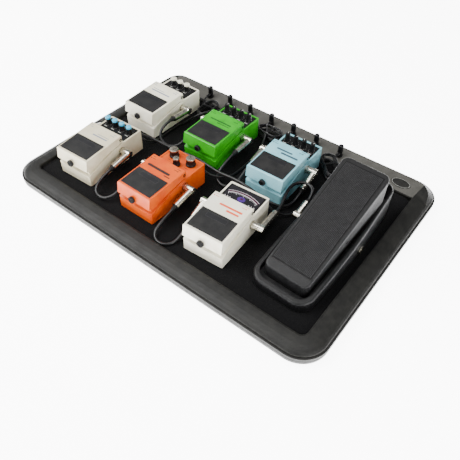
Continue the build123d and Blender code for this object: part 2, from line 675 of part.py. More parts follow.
patch_routes = {
    "delay_to_distortion": rows(ends["delay_r"]) + tray(
        (148.5, 19.5, 19.5), (148.3, 6, 14), (154, -5.5, 9), (166.5, -10.5, 6.5), (179.5, -7, 7.5), (187.5, 4, 11), (188.4, 18.5, 16.2),
    ) + rows(ends["distortion_l"]),
    "distortion_to_tuner": rows(ends["distortion_r"]) + tray(
        (288.3, 17, 16.2), (287.8, 2.5, 10.4), (289.4, -10.5, 5.6), (299.3, -19.6, 3.2), (312.5, -20.4, 3), (322.8, -11.8, 3.2), (326.4, 0.5, 4.8), (325.3, 16, 9.6),
    ) + rows(ends["tuner_l"]),
    "gate_to_phaser": rows(ends["noise_gate_r"]) + tray(
        (139.7, 180, 30.2), (139, 167.5, 24), (144, 158.5, 15.5), (156, 155.5, 9), (169.5, 158.5, 7), (180, 167.5, 9.5), (183.6, 181.5, 14.8),
    ) + rows(ends["phaser_l"]),
    "phaser_to_chorus": rows(ends["phaser_r"]) + tray(
        (283.6, 177, 23.5), (282.4, 162.5, 16.5), (284, 148.6, 9.5), (293.8, 138.8, 4.8), (307.6, 138.2, 4), (318.2, 147.5, 5.6), (320.2, 162, 10.5), (319.2, 176, 15.6),
    ) + rows(ends["chorus_l"]),
    "tuner_to_wah": rows(ends["tuner_r"]) + tray(
        (418.2, 141.5, 28.3), (414, 153.5, 29), (409.2, 166.5, 29.5), (406.8, 180.5, 29.5), (408.6, 194, 29.7), (417.8, 204, 30), (431.2, 204.6, 30.2), (441.4, 195.6, 28.2),
    ) + rows(ends["wah_l"]),
    "chorus_to_delay": rows(ends["chorus_r"]) + tray(
        (418.6, 183, 6.6), (417.5, 168, 5.2), (411, 154.5, 8), (397, 147.5, 12), (379, 145.5, 15.5), (357, 146.5, 19), (334, 148.5, 21),
        (312, 148.2, 20.5), (289, 146, 19.5), (266, 147.2, 20.5), (243, 148, 23.5), (220, 145.5, 23.5), (196, 143, 21.5), (172, 143.5, 20.5), (148, 145.5, 18),
        (125, 148, 13.5), (103, 149.8, 8), (82, 150.2, 5), (64, 148, 5), (51.5, 141.5, 9), (45.6, 131.5, 15.5),
    ) + rows(ends["delay_l"]),
}
leads = [lead(n, pts, lead_d) for n, pts in patch_routes.items()]
save(Compound(children=leads), "patch_leads")

# right-angle power plugs on the console: body, rounded top, cable boot to the front
dc_bodies = []
for x in dc_plug_x:
    with BuildPart() as body:
        with BuildSketch(Plane.XY.offset(18.5)):
            with Locations((x, dc_plug_y)):
                Circle(2.75)
        extrude(amount=9.0)
        with BuildSketch(Plane.XY.offset(27.05)):
            with Locations((x, dc_plug_y)):
                Circle(4.8)
        extrude(amount=21.0)
        fillet(body.faces().sort_by(Axis.Z)[-1].edges(), radius=3.0)
        with BuildSketch(Plane(origin=(x, dc_plug_y, 32.6), x_dir=(1, 0, 0), z_dir=(0, -1, -0.16))):
            Circle(2.7)
        extrude(amount=10.5)
    dc_bodies.append(body.part)
# plugs in the pedals' power inlets: a low angled body with the cable to one side
dc_ends = {}
for pname, side in (("delay", 1), ("noise_gate", 1), ("distortion", 1), ("phaser", 1), ("chorus", -1), ("tuner", 1)):
    x, y, turn = P[pname]
    c, s = cos(radians(turn)), sin(radians(turn))
    with BuildPart() as body:
        with BuildSketch(Plane(origin=world(x, y, turn, (0, 122.5, 22.0)), x_dir=(c, s, 0), z_dir=(-s, c, 0))):
            Circle(2.8)
        extrude(amount=6.5)
        with BuildSketch(Plane(origin=world(x, y, turn, (0, 128.0, 22.0)), x_dir=(c, s, 0), z_dir=(-s, c, 0))):
            RectangleRounded(11, 11, 3)
        extrude(amount=8.6)
        with BuildSketch(Plane(origin=world(x, y, turn, (0, 132.5, 22.0)), x_dir=(0, 0, 1), z_dir=(c * side, s * side, 0))):
            Circle(2.7)
        extrude(amount=11.0)
    dc_bodies.append(body.part)
    dc_ends[pname] = (world(x, y, turn, (side * 11.0, 132.5, 22.0)), (c * side, s * side, 0))
    print("power plug", pname, [round(v, 1) for v in dc_ends[pname][0]])
c, s = cos(radians(wah_turn)), sin(radians(wah_turn))
with BuildPart() as body:
    with BuildSketch(Plane(origin=world(*W, (-43.0, 168.0, 12.0)), x_dir=(0, 0, 1), z_dir=(-c, -s, 0))):
        Circle(2.75)
    extrude(amount=6.0)
    with BuildSketch(Plane(origin=world(*W, (-46.2, 168.0, 12.0)), x_dir=(0, 0, 1), z_dir=(-c, -s, 0))):
        RectangleRounded(11, 11, 3)
    extrude(amount=8.6)
    with BuildSketch(Plane(origin=world(*W, (-50.6, 168.0, 12.0)), x_dir=(0, 0, 1), z_dir=(-s, c, 0))):
        Circle(2.7)
    extrude(amount=11.0)
dc_bodies.append(body.part)
dc_ends["wah"] = (world(*W, (-50.6, 179.0, 12.0)), (-s, c, 0))
print("power plug wah", [round(v, 1) for v in dc_ends["wah"][0]])
save(Compound(children=dc_bodies), "dc_plugs")


def outlet(i):
    n = (1 + 0.16 ** 2) ** 0.5
    return [(dc_plug_x[i], dc_plug_y - 10.5 / n, 32.6 - 10.5 * 0.16 / n)]


# tied hanks of spare power lead: length, width, height, centre, direction
HANKS = {
    "hank_a": (44, 20, 8.5, (151.5, 285.5, 5.0), 90),
    "hank_b": (44, 15, 9.0, (287.0, 301.8, 5.2), 0),
    "hank_c": (58, 15, 9.5, (423.0, 286.5, 5.4), -43),
}
hanks = []
for n, (l_, w_, h_, (hx, hy, hz), ang) in HANKS.items():
    (gx, gy, gz), = tray((hx, hy, hz))
    ca, sa = cos(radians(ang)), sin(radians(ang))
    with BuildPart() as hank:
        with BuildSketch(Plane(origin=(gx, gy, gz - h_ / 2), x_dir=(ca, sa, 0), z_dir=(0, 0, 1))):
            SlotOverall(l_, w_)
        extrude(amount=h_)
        fillet(hank.faces().sort_by(Axis.Z)[-1].edges(), radius=2.5)
        fillet(hank.faces().sort_by(Axis.Z)[0].edges(), radius=2.5)
    hanks.append(hank.part)
save(Compound(children=hanks), "dc_lead_coils")

dc_routes = {
    "outlet1_hank": outlet(0) + tray((124.6, 308, 13.6), (129, 301.2, 10.8), (137, 300.2, 8), (145, 302, 6.2)),
    "outlet2_hank": outlet(1) + tray((172.7, 307.8, 13.2), (169.6, 299.6, 9.6), (161.8, 296.2, 6.2)),
    "outlet3_hank": outlet(2) + tray((222.6, 308, 12.5), (226, 300.5, 8), (234, 297.5, 4.4), (244, 299, 3.6), (254, 302, 4.2), (264.8, 303.4, 5.2)),
    "outlet5_hank": outlet(4) + tray((320.2, 308.6, 13.2), (319, 300.6, 9.6), (312.6, 295.4, 7), (304.5, 297, 5.4)),
    "outlet6_hank": outlet(5) + tray((369.3, 308.6, 13.2), (371.9, 300.6, 8.6), (379.6, 296.6, 5), (388.8, 297.8, 4.2), (397, 301.6, 4.8), (403.2, 305.4, 5.4)),
    "outlet7_hank": outlet(6) + tray((417.8, 309.5, 13.5), (418.4, 302.4, 11.6), (419.4, 296, 10.0)),
    "hank_gate": [dc_ends["noise_gate"][0]] + tray((112, 296.4, 20), (121.8, 295.2, 14), (131, 293.2, 7.6), (142, 289.4, 5)),
    "hank_delay": [dc_ends["delay"][0]] + tray(
        (116.5, 134.4, 20), (125.5, 138, 12.5), (130.6, 146.5, 5), (132.4, 160, 2.3), (132.8, 179, 2.2), (132.2, 199, 2.2), (133, 220, 2.2),
        (135, 238.5, 2.2), (138.8, 252.5, 2.6), (145.5, 264.2, 4.2)),
    "outlet4_distortion": outlet(3) + tray(
        (273.5, 309, 17.6), (279.5, 301, 19.2), (285.5, 290.5, 15.5), (290, 277, 9), (294.5, 261, 4), (298, 243, 2.2), (300, 223, 2.2), (300.6, 202, 2.2),
        (300.8, 182, 2.4), (300.5, 166, 5.2), (297, 153, 9.8), (289, 142.5, 12.2), (277, 137, 14.5), (263.5, 135.2, 19)) + [dc_ends["distortion"][0]],
    "hank_phaser": [dc_ends["phaser"][0]] + tray((254.6, 294.6, 18.8), (261.2, 297.6, 11.4), (265.6, 302.2, 6.6)),
    "hank_chorus": [dc_ends["chorus"][0]] + tray((344, 292.3, 20), (333.5, 291.5, 13), (323, 293.5, 6), (313, 298.5, 4.4), (307.4, 300.4, 4.4)),
    "hank_tuner": [dc_ends["tuner"][0]] + tray(
        (392, 133.4, 20.5), (405, 134.4, 14.5), (417, 139.4, 7), (426.5, 149, 3), (431.2, 164, 2.2), (433, 184, 2.2), (435.4, 205, 2.2), (437.2, 226, 2.2),
        (437.6, 246, 2.4), (434.5, 262, 3.2), (429.3, 273.8, 4.6)),
    "hank_wah": [dc_ends["wah"][0]] + tray((450.6, 228, 10.8), (449.6, 240, 7.5), (447, 252.5, 5.2), (443.5, 264.5, 5), (441.6, 271.8, 5.3)),
}
dc = [lead(n, pts, dc_d) for n, pts in dc_routes.items()]
save(Compound(children=dc), "dc_leads")
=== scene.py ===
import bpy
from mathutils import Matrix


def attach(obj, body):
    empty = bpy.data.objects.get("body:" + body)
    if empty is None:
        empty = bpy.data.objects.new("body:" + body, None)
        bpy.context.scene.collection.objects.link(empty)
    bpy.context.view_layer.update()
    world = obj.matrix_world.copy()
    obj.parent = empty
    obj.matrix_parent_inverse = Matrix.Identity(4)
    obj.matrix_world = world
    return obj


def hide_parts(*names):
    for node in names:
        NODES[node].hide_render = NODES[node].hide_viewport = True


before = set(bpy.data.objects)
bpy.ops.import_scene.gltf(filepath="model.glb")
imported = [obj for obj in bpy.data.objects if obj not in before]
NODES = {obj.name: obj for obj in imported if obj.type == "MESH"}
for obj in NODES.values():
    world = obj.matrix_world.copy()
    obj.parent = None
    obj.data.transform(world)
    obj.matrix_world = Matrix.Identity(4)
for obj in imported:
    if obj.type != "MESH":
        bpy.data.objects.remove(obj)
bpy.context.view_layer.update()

import math
import random
import bpy
from mathutils import Matrix, Vector
from mathutils.bvhtree import BVHTree

random.seed(7)
BOARD = "pedalboard"
GROUND = 0.017           # the pedals stand on the carpet, this high

PEDALS = {               # place on the tray (mm) and turn (degrees)
    "delay": (-198.1, -154.7, 2.3),
    "noise_gate": (-208.4, 8.9, -0.9),
    "distortion": (-59.8, -153.2, -0.5),
    "phaser": (-63.9, 6.5, 0.3),
    "chorus": (71.6, 4.8, 1.4),
    "tuner": (78.3, -156.2, 3.7),
    "wah": (202.6, -117.1, -1.6),
}
FOUR = [(-24.45, 109.5, 5.0), (-8.15, 109.5, 5.0), (8.15, 109.5, 5.0), (24.45, 109.5, 5.0)]
THREE = [(-16.8, 112.2, 5.2), (0.0, 112.2, 5.2), (16.8, 112.2, 5.2)]
MIXED = [(-18.0, 112.0, 8.5), (0.0, 97.2, 6.5), (18.0, 112.0, 8.5)]
KNOBS = {"delay": FOUR, "noise_gate": THREE, "distortion": MIXED, "phaser": FOUR, "chorus": FOUR, "tuner": []}


def frame_of(pedal):
    """Matrix from the pedal's own millimetres to the row frame in metres."""
    x, y, t = PEDALS[pedal]
    return (Matrix.Translation((x / 1000, y / 1000, GROUND)) @ Matrix.Rotation(math.radians(t), 4, "Z")
            @ Matrix.Scale(0.001, 4))


# ------------------------------------------------------------------ camera
def rolled(az, el, roll):
    a, e, r = map(math.radians, (az, el, roll))
    right = Vector((math.cos(a), math.sin(a), 0))
    back = Vector((math.sin(a) * math.cos(e), -math.cos(a) * math.cos(e), math.sin(e)))
    up = back.cross(right)
    right2 = right * math.cos(r) + up * math.sin(r)
    up2 = up * math.cos(r) - right * math.sin(r)
    return Matrix((right2, up2, back)).transposed()


cam_data = bpy.data.cameras.new("camera")
cam = bpy.data.objects.new("camera", cam_data)
bpy.context.scene.collection.objects.link(cam)
cam.matrix_world = Matrix.Translation((0.3916, -0.5161, 0.5938)) @ rolled(36.34, 47.19, 1.86).to_4x4()
cam_data.lens, cam_data.sensor_width, cam_data.sensor_fit = 39.83, 36.0, "HORIZONTAL"
cam_data.clip_start, cam_data.clip_end = 0.02, 60
bpy.context.scene.camera = cam


# ------------------------------------------------------------------ materials
def srgb(*c):
    def one(v):
        v = v / 255
        return v / 12.92 if v <= 0.04045 else ((v + 0.055) / 1.055) ** 2.4
    return tuple(one(v) for v in c) + (1.0,)


class Graph:
    def __init__(self, name):
        self.m = bpy.data.materials.new(name)
        self.m.use_nodes = True
        self.t = self.m.node_tree
        self.b = self.t.nodes["Principled BSDF"]
        self.co = self.t.nodes.new("ShaderNodeTexCoord").outputs["Object"]

    def node(self, kind, **kw):
        n = self.t.nodes.new(kind)
        for k, v in kw.items():
            if k in n.inputs:
                n.inputs[k].default_value = v
            else:
                setattr(n, k, v)
        return n

    def link(self, a, b):
        self.t.links.new(a, b)

    def noise(self, scale, detail=4.0, rough=0.55, stretch=None):
        n = self.node("ShaderNodeTexNoise", Scale=scale, Detail=detail, Roughness=rough)
        if stretch:
            mp = self.node("ShaderNodeMapping")
            mp.inputs["Scale"].default_value = stretch
            self.link(self.co, mp.inputs["Vector"])
            self.link(mp.outputs["Vector"], n.inputs["Vector"])
        else:
            self.link(self.co, n.inputs["Vector"])
        return n.outputs["Fac"]

    def ramp(self, fac, stops):
        r = self.node("ShaderNodeValToRGB")
        while len(r.color_ramp.elements) < len(stops):
            r.color_ramp.elements.new(0.5)
        for e, (p, c) in zip(r.color_ramp.elements, stops):
            e.position = p
            e.color = c if len(c) == 4 else tuple(c) + (1.0,)
        self.link(fac, r.inputs["Fac"])
        return r.outputs["Color"]

    def remap(self, v, lo, hi, a=0.3, b=0.7):
        n = self.node("ShaderNodeMapRange")
        n.inputs["From Min"].default_value, n.inputs["From Max"].default_value = a, b
        n.inputs["To Min"].default_value, n.inputs["To Max"].default_value = lo, hi
        self.link(v, n.inputs["Value"])
        return n.outputs["Result"]

    def mix(self, fac, a, b):
        n = self.node("ShaderNodeMix", data_type="RGBA")
        for sock, v in ((n.inputs[0], fac), (n.inputs[6], a), (n.inputs[7], b)):
            if hasattr(v, "is_linked"):
                self.link(v, sock)
            else:
                sock.default_value = v
        return n.outputs[2]

    def math(self, op, a, b=None):
        n = self.node("ShaderNodeMath", operation=op)
        for sock, v in zip(n.inputs, (a, b)):
            if v is None:
                continue
            if hasattr(v, "is_linked"):
                self.link(v, sock)
            else:
                sock.default_value = v
        return n.outputs[0]

    def soft(self, radius):
        bv = self.node("ShaderNodeBevel", samples=6)
        bv.inputs["Radius"].default_value = radius
        return bv.outputs["Normal"]

    def bump(self, *layers, start=None):
        """layers of (height, distance in metres, strength)"""
        last = start
        for h, dist, strength in layers:
            n = self.node("ShaderNodeBump", Distance=dist, Strength=strength)
            self.link(h, n.inputs["Height"])
            if last:
                self.link(last, n.inputs["Normal"])
            last = n.outputs["Normal"]
        self.link(last, self.b.inputs["Normal"])

    def edges(self, radius=0.0009, samples=4):
        """About 1 on sharp edges and 0 on flats."""
        bv = self.node("ShaderNodeBevel", samples=samples)
        bv.inputs["Radius"].default_value = radius
        g = self.node("ShaderNodeNewGeometry")
        d = self.node("ShaderNodeVectorMath", operation="DOT_PRODUCT")
        self.link(bv.outputs["Normal"], d.inputs[0])
        self.link(g.outputs["Normal"], d.inputs[1])
        return self.remap(d.outputs["Value"], 1.0, 0.0, 0.82, 0.985)

    def upward(self, a=0.75, b=0.98):
        g = self.node("ShaderNodeNewGeometry")
        s = self.node("ShaderNodeSeparateXYZ")
        self.link(g.outputs["Normal"], s.inputs[0])
        return self.remap(s.outputs["Z"], 0.0, 1.0, a, b)


def paint(name, top, shade, rough=0.34, edge_wear_and_highlight=None, coat=0.1, grime=(60, 56, 46)):
    """Stoved enamel on a die casting: slight orange peel, faint mottling, dust, and edges painted a lighter tint as
    edge wear and painted highlight.
    """
    g = Graph(name)
    base = g.ramp(g.noise(45, 3), [(0.32, srgb(*shade)), (0.62, srgb(*top))])
    fine = g.remap(g.noise(900, 3), 0.0, 0.16, 0.45, 0.75)
    c = g.mix(fine, base, srgb(*[int(v * 0.80) for v in top]))
    dirt = g.remap(g.noise(140, 6, 0.7), 0.0, 0.30, 0.58, 0.80)
    c = g.mix(dirt, c, srgb(*grime))
    # edges painted a lighter tint of the paint: partly edge wear, partly a painted highlight on the rounded edges
    edge = g.math("MULTIPLY", g.edges(0.0008), g.remap(g.noise(320, 5, 0.7), 0.0, 0.85, 0.50, 0.66))
    c = g.mix(edge, c, srgb(*(edge_wear_and_highlight or [min(255, int(v * 1.12 + 8)) for v in top])))
    g.link(c, g.b.inputs["Base Color"])
    g.link(g.remap(g.noise(260, 4), rough - 0.06, rough + 0.13), g.b.inputs["Roughness"])
    g.b.inputs["Specular IOR Level"].default_value = 0.35
    g.b.inputs["Coat Weight"].default_value = coat
    g.b.inputs["Coat Roughness"].default_value = 0.22
    g.bump((g.noise(1100, 2), 0.00005, 0.55), (g.noise(170, 2), 0.00008, 0.4))
    return g.m


def plastic(name, lo, hi, rough=0.5, grain=1400, depth=0.00006, strength=0.7, dust=0.0, edge_wear_and_highlight=None, spec=0.22, mottle=30, round_edges=0.0):
    """Moulded plastic or rubber: spark-eroded grain, mottling, edges painted lighter as rubbed wear and painted
    highlight, dust on top.
    """
    g = Graph(name)
    c = g.ramp(g.noise(mottle, 5, 0.6), [(0.30, srgb(*lo)), (0.70, srgb(*hi))])
    c = g.mix(g.remap(g.noise(grain, 2), 0.0, 0.35, 0.45, 0.75), c, srgb(*[min(255, int(v * 1.25 + 8)) for v in hi]))
    if dust:
        f = g.math("MULTIPLY", g.upward(), g.remap(g.noise(60, 8, 0.75), 0.0, dust, 0.42, 0.72))
        c = g.mix(f, c, srgb(92, 90, 84))
    # edges painted lighter: rubbed wear together with a painted highlight where the rounded edges catch the light
    if edge_wear_and_highlight:
        c = g.mix(g.math("MULTIPLY", g.edges(0.0012), g.remap(g.noise(210, 6, 0.7), 0.15, 0.9, 0.4, 0.65)), c, srgb(*edge_wear_and_highlight))
    g.link(c, g.b.inputs["Base Color"])
    g.link(g.remap(g.noise(120, 5), rough - 0.07, rough + 0.10), g.b.inputs["Roughness"])
    g.b.inputs["Specular IOR Level"].default_value = spec
    g.bump((g.noise(grain, 3), depth, strength), start=g.soft(round_edges) if round_edges else None)
    return g.m


def metal(name, colour, rough=0.2, scratch=(1, 1, 1)):
    g = Graph(name)
    g.link(g.ramp(g.noise(200, 5, 0.6), [(0.3, srgb(*[int(v * 0.72) for v in colour])), (0.68, srgb(*colour))]), g.b.inputs["Base Color"])
    g.b.inputs["Metallic"].default_value = 1.0
    g.link(g.remap(g.noise(500, 6, 0.7, scratch), rough - 0.08, rough + 0.16), g.b.inputs["Roughness"])
    g.bump((g.noise(900, 5, 0.6, scratch), 0.00003, 0.5))
    return g.m


def carpet(name):
    g = Graph(name)
    c = g.ramp(g.noise(900, 6, 0.8), [(0.35, srgb(2, 2, 3)), (0.62, srgb(9, 9, 10)), (0.80, srgb(26, 26, 28))])
    lint = g.remap(g.noise(380, 9, 0.85), 0.0, 0.25, 0.64, 0.78)
    c = g.mix(lint, c, srgb(56, 55, 54))
    g.link(c, g.b.inputs["Base Color"])
    g.b.inputs["Roughness"].default_value = 0.97
    g.b.inputs["Sheen Weight"].default_value = 0.04
    g.b.inputs["Sheen Roughness"].default_value = 0.5
    g.b.inputs["Specular IOR Level"].default_value = 0.1
    g.bump((g.noise(1500, 6, 0.8), 0.0011, 1.0), (g.noise(260, 4, 0.7), 0.0008, 0.6))
    return g.m


def display(name):
    g = Graph(name)
    g.link(g.ramp(g.noise(300, 3), [(0.3, srgb(10, 8, 13)), (0.7, srgb(20, 17, 25))]), g.b.inputs["Base Color"])
    g.link(g.remap(g.noise(150, 4), 0.06, 0.16), g.b.inputs["Roughness"])
    g.b.inputs["Coat Weight"].default_value = 0.6
    g.bump((g.noise(80, 2), 0.00004, 0.3))
    return g.m


def glow(name, colour, strength):
    g = Graph(name)
    g.link(g.ramp(g.noise(700, 3), [(0.3, srgb(*[int(v * 0.75) for v in colour])), (0.7, srgb(*colour))]), g.b.inputs["Base Color"])
    g.b.inputs["Emission Color"].default_value = srgb(*colour)
    g.b.inputs["Emission Strength"].default_value = strength
    g.b.inputs["Roughness"].default_value = 0.25
    g.bump((g.noise(900, 2), 0.00003, 0.4))
    return g.m


def ink(name, colour):
    g = Graph(name)
    g.link(g.ramp(g.noise(600, 5, 0.7), [(0.30, srgb(*[int(v * 0.86 + 12) for v in colour])), (0.55, srgb(*colour))]), g.b.inputs["Base Color"])
    g.link(g.remap(g.noise(500, 3), 0.38, 0.6), g.b.inputs["Roughness"])
    g.bump((g.noise(1500, 3), 0.00002, 0.5))
    return g.m


def board_green(name):
    g = Graph(name)
    g.link(g.ramp(g.noise(220, 2), [(0.45, srgb(16, 70, 34)), (0.5, srgb(34, 104, 52))]), g.b.inputs["Base Color"])
    g.link(g.remap(g.noise(300, 3), 0.25, 0.45), g.b.inputs["Roughness"])
    g.bump((g.noise(220, 2), 0.0001, 0.6))
    return g.m


MAT = {
    # the case's olive edge colour is a painted highlight along the rim's rounded edges, mixed with rubbed wear
    "case": plastic("case_plastic", (15, 15, 14), (22, 22, 20), 0.47, 1500, 0.00012, 0.9, dust=0.07, edge_wear_and_highlight=(62, 62, 55), spec=0.20),
    "console": plastic("console_plastic", (58, 57, 53), (72, 71, 67), 0.52, 1500, 0.00012, 0.9, dust=0.18, edge_wear_and_highlight=(98, 96, 88)),
    "cover": plastic("cover_plastic", (16, 16, 16), (24, 24, 24), 0.65, 900, 0.00012, 0.8),
    "foot": plastic("foot_rubber", (12, 12, 12), (20, 20, 20), 0.8, 1200, 0.00008, 0.9),
    "carpet": carpet("carpet"),
    "black": plastic("black_plastic", (7, 7, 8), (14, 14, 15), 0.32, 1800, 0.00003, 0.5, edge_wear_and_highlight=(48, 48, 48)),
    "boot": plastic("boot_rubber", (8, 8, 9), (15, 15, 16), 0.5, 1500, 0.00004, 0.7),
    "jacket": plastic("lead_jacket", (8, 8, 9), (16, 16, 17), 0.36, 1300, 0.00004, 0.6, spec=0.35),
    "pad": plastic("pad_rubber", (17, 17, 18), (25, 25, 26), 0.55, 1700, 0.00014, 1.0, dust=0.10, edge_wear_and_highlight=(70, 70, 72)),
    "pad_edge": plastic("pad_edge_rubber", (17, 17, 19), (26, 26, 28), 0.5, 1600, 0.00008, 0.8),
    "mat": plastic("mat_rubber", (22, 22, 23), (31, 31, 32), 0.58, 1500, 0.00010, 0.9, dust=0.10, edge_wear_and_highlight=(54, 54, 56)),
    "wah": plastic("wah_paint", (9, 9, 10), (14, 14, 15), 0.42, 760, 0.00022, 1.0, dust=0.05, edge_wear_and_highlight=(44, 44, 44), spec=0.22, round_edges=0.0022),
    # the mat's valleys between the ribs: the same rubber painted near black as painted shade
    "mat_painted_shade_valley": plastic("mat_valley_rubber", (2, 2, 2), (5, 5, 5), 0.7, 1500, 0.0001, 0.9),
    "panel": plastic("panel_black", (8, 8, 9), (15, 15, 16), 0.42, 1500, 0.00004, 0.6),
    "board": board_green("circuit_board"),
    "nickel": metal("nickel", (222, 218, 204), 0.15),
    "nickel_worn": metal("nickel_worn", (206, 200, 184), 0.26, (1, 1, 6)),
    "brass": metal("brass_nut", (176, 156, 104), 0.26),
    "steel": metal("steel", (180, 180, 178), 0.32, (1, 1, 12)),
    "battery": metal("battery_sleeve", (112, 112, 116), 0.38),
    "display": display("display_panel"),
    "red": glow("red_lens", (150, 12, 10), 0.1),
    "delay": paint("delay_paint", (214, 206, 180), (202, 192, 162), 0.36, edge_wear_and_highlight=(232, 226, 204)),
    "noise_gate": paint("noise_gate_paint", (234, 230, 212), (222, 216, 192), 0.34, edge_wear_and_highlight=(240, 238, 224)),
    "distortion": paint("distortion_paint", (212, 84, 0), (198, 66, 0), 0.4, edge_wear_and_highlight=(255, 132, 40), grime=(130, 30, 6)),
    "phaser": paint("phaser_paint", (44, 158, 22), (32, 138, 14), 0.33, edge_wear_and_highlight=(104, 206, 80), grime=(12, 66, 8)),
    "chorus": paint("chorus_paint", (140, 196, 206), (122, 182, 194), 0.35, edge_wear_and_highlight=(196, 228, 232), grime=(62, 96, 106)),
    "tuner": paint("tuner_paint", (236, 232, 214), (226, 220, 198), 0.34, edge_wear_and_highlight=(242, 240, 228)),
    "ink_black": ink("ink_black", (24, 14, 8)),
    "ink_grey": ink("ink_grey", (116, 124, 140)),
    "ink_green": ink("ink_green", (8, 54, 8)),
    "ink_blue": ink("ink_blue", (40, 62, 78)),
    "ink_coral": ink("ink_coral", (222, 82, 44)),
    "ink_white": ink("ink_white", (210, 210, 204)),
    "cap_blue": plastic("cap_blue", (58, 160, 200), (84, 186, 218), 0.34, 1300, 0.00003, 0.5),
    "cap_white": plastic("cap_white", (212, 208, 184), (232, 228, 206), 0.34, 1300, 0.00003, 0.5),
    "arc_violet": glow("arc_violet", (72, 44, 120), 0.10),
    "arc_plum": glow("arc_plum", (70, 34, 52), 0.03),
    "arc_white": glow("arc_white", (220, 214, 216), 0.05),
    "badge": metal("badge_metal", (214, 214, 208), 0.3),
}


# ------------------------------------------------------------------ cords
PATCH = {
    "delay_to_distortion": [(-0.1494, -0.12128, 0.03974), (-0.1495, -0.1352, 0.0365), (-0.1497, -0.1487, 0.031), (-0.144, -0.1602, 0.026), (-0.1315, -0.1652, 0.0235), (-0.1185, -0.1617, 0.0245), (-0.1105, -0.1507, 0.028), (-0.1096, -0.1362, 0.0332), (-0.10952, -0.12108, 0.03819)],
    "distortion_to_tuner": [(-0.00953, -0.12279, 0.03722), (-0.0097, -0.1377, 0.0332), (-0.0102, -0.1522, 0.0274), (-0.0086, -0.1652, 0.0226), (0.0013, -0.1743, 0.0202), (0.0145, -0.1751, 0.02), (0.0248, -0.1665, 0.0202), (0.0284, -0.1542, 0.0218), (0.0273, -0.1387, 0.0266), (0.02595, -0.12155, 0.03364)],
    "gate_to_phaser": [(-0.15793, 0.03817, 0.04841), (-0.1583, 0.0253, 0.0472), (-0.159, 0.0128, 0.041), (-0.154, 0.0038, 0.0325), (-0.142, 0.0008, 0.026), (-0.1285, 0.0038, 0.024), (-0.118, 0.0128, 0.0265), (-0.1144, 0.0268, 0.0318), (-0.11411, 0.04678, 0.03975)],
    "phaser_to_chorus": [(-0.01406, 0.03682, 0.04359), (-0.0144, 0.0223, 0.0405), (-0.0156, 0.0078, 0.0335), (-0.014, -0.0061, 0.0265), (-0.0042, -0.0159, 0.0218), (0.0096, -0.0165, 0.021), (0.0202, -0.0072, 0.0226), (0.0222, 0.0073, 0.0275), (0.0212, 0.0213, 0.0326), (0.02084, 0.03525, 0.03819)],
    "tuner_to_wah": [(0.12206, -0.02714, 0.04426), (0.1202, -0.0132, 0.0453), (0.116, -0.0012, 0.046), (0.1112, 0.0118, 0.0465), (0.1088, 0.0258, 0.0465), (0.1106, 0.0393, 0.0467), (0.1198, 0.0493, 0.047), (0.1332, 0.0499, 0.0472), (0.1434, 0.0409, 0.0452), (0.14459, 0.02672, 0.03973)],
    "chorus_to_delay": [(0.12075, 0.04029, 0.02914), (0.1206, 0.0283, 0.0236), (0.1195, 0.0133, 0.0222), (0.113, -0.0002, 0.025), (0.099, -0.0072, 0.029), (0.081, -0.0092, 0.0325), (0.059, -0.0082, 0.036), (0.036, -0.0062, 0.038), (0.014, -0.0065, 0.0375), (-0.009, -0.0087, 0.0365), (-0.032, -0.0075, 0.0375), (-0.055, -0.0067, 0.0405), (-0.078, -0.0092, 0.0405), (-0.102, -0.0117, 0.0385), (-0.126, -0.0112, 0.0375), (-0.15, -0.0092, 0.035), (-0.173, -0.0067, 0.0305), (-0.195, -0.0049, 0.025), (-0.216, -0.0045, 0.022), (-0.234, -0.0067, 0.022), (-0.2465, -0.0132, 0.026), (-0.2524, -0.0232, 0.0325), (-0.25289, -0.03649, 0.03819)],
}
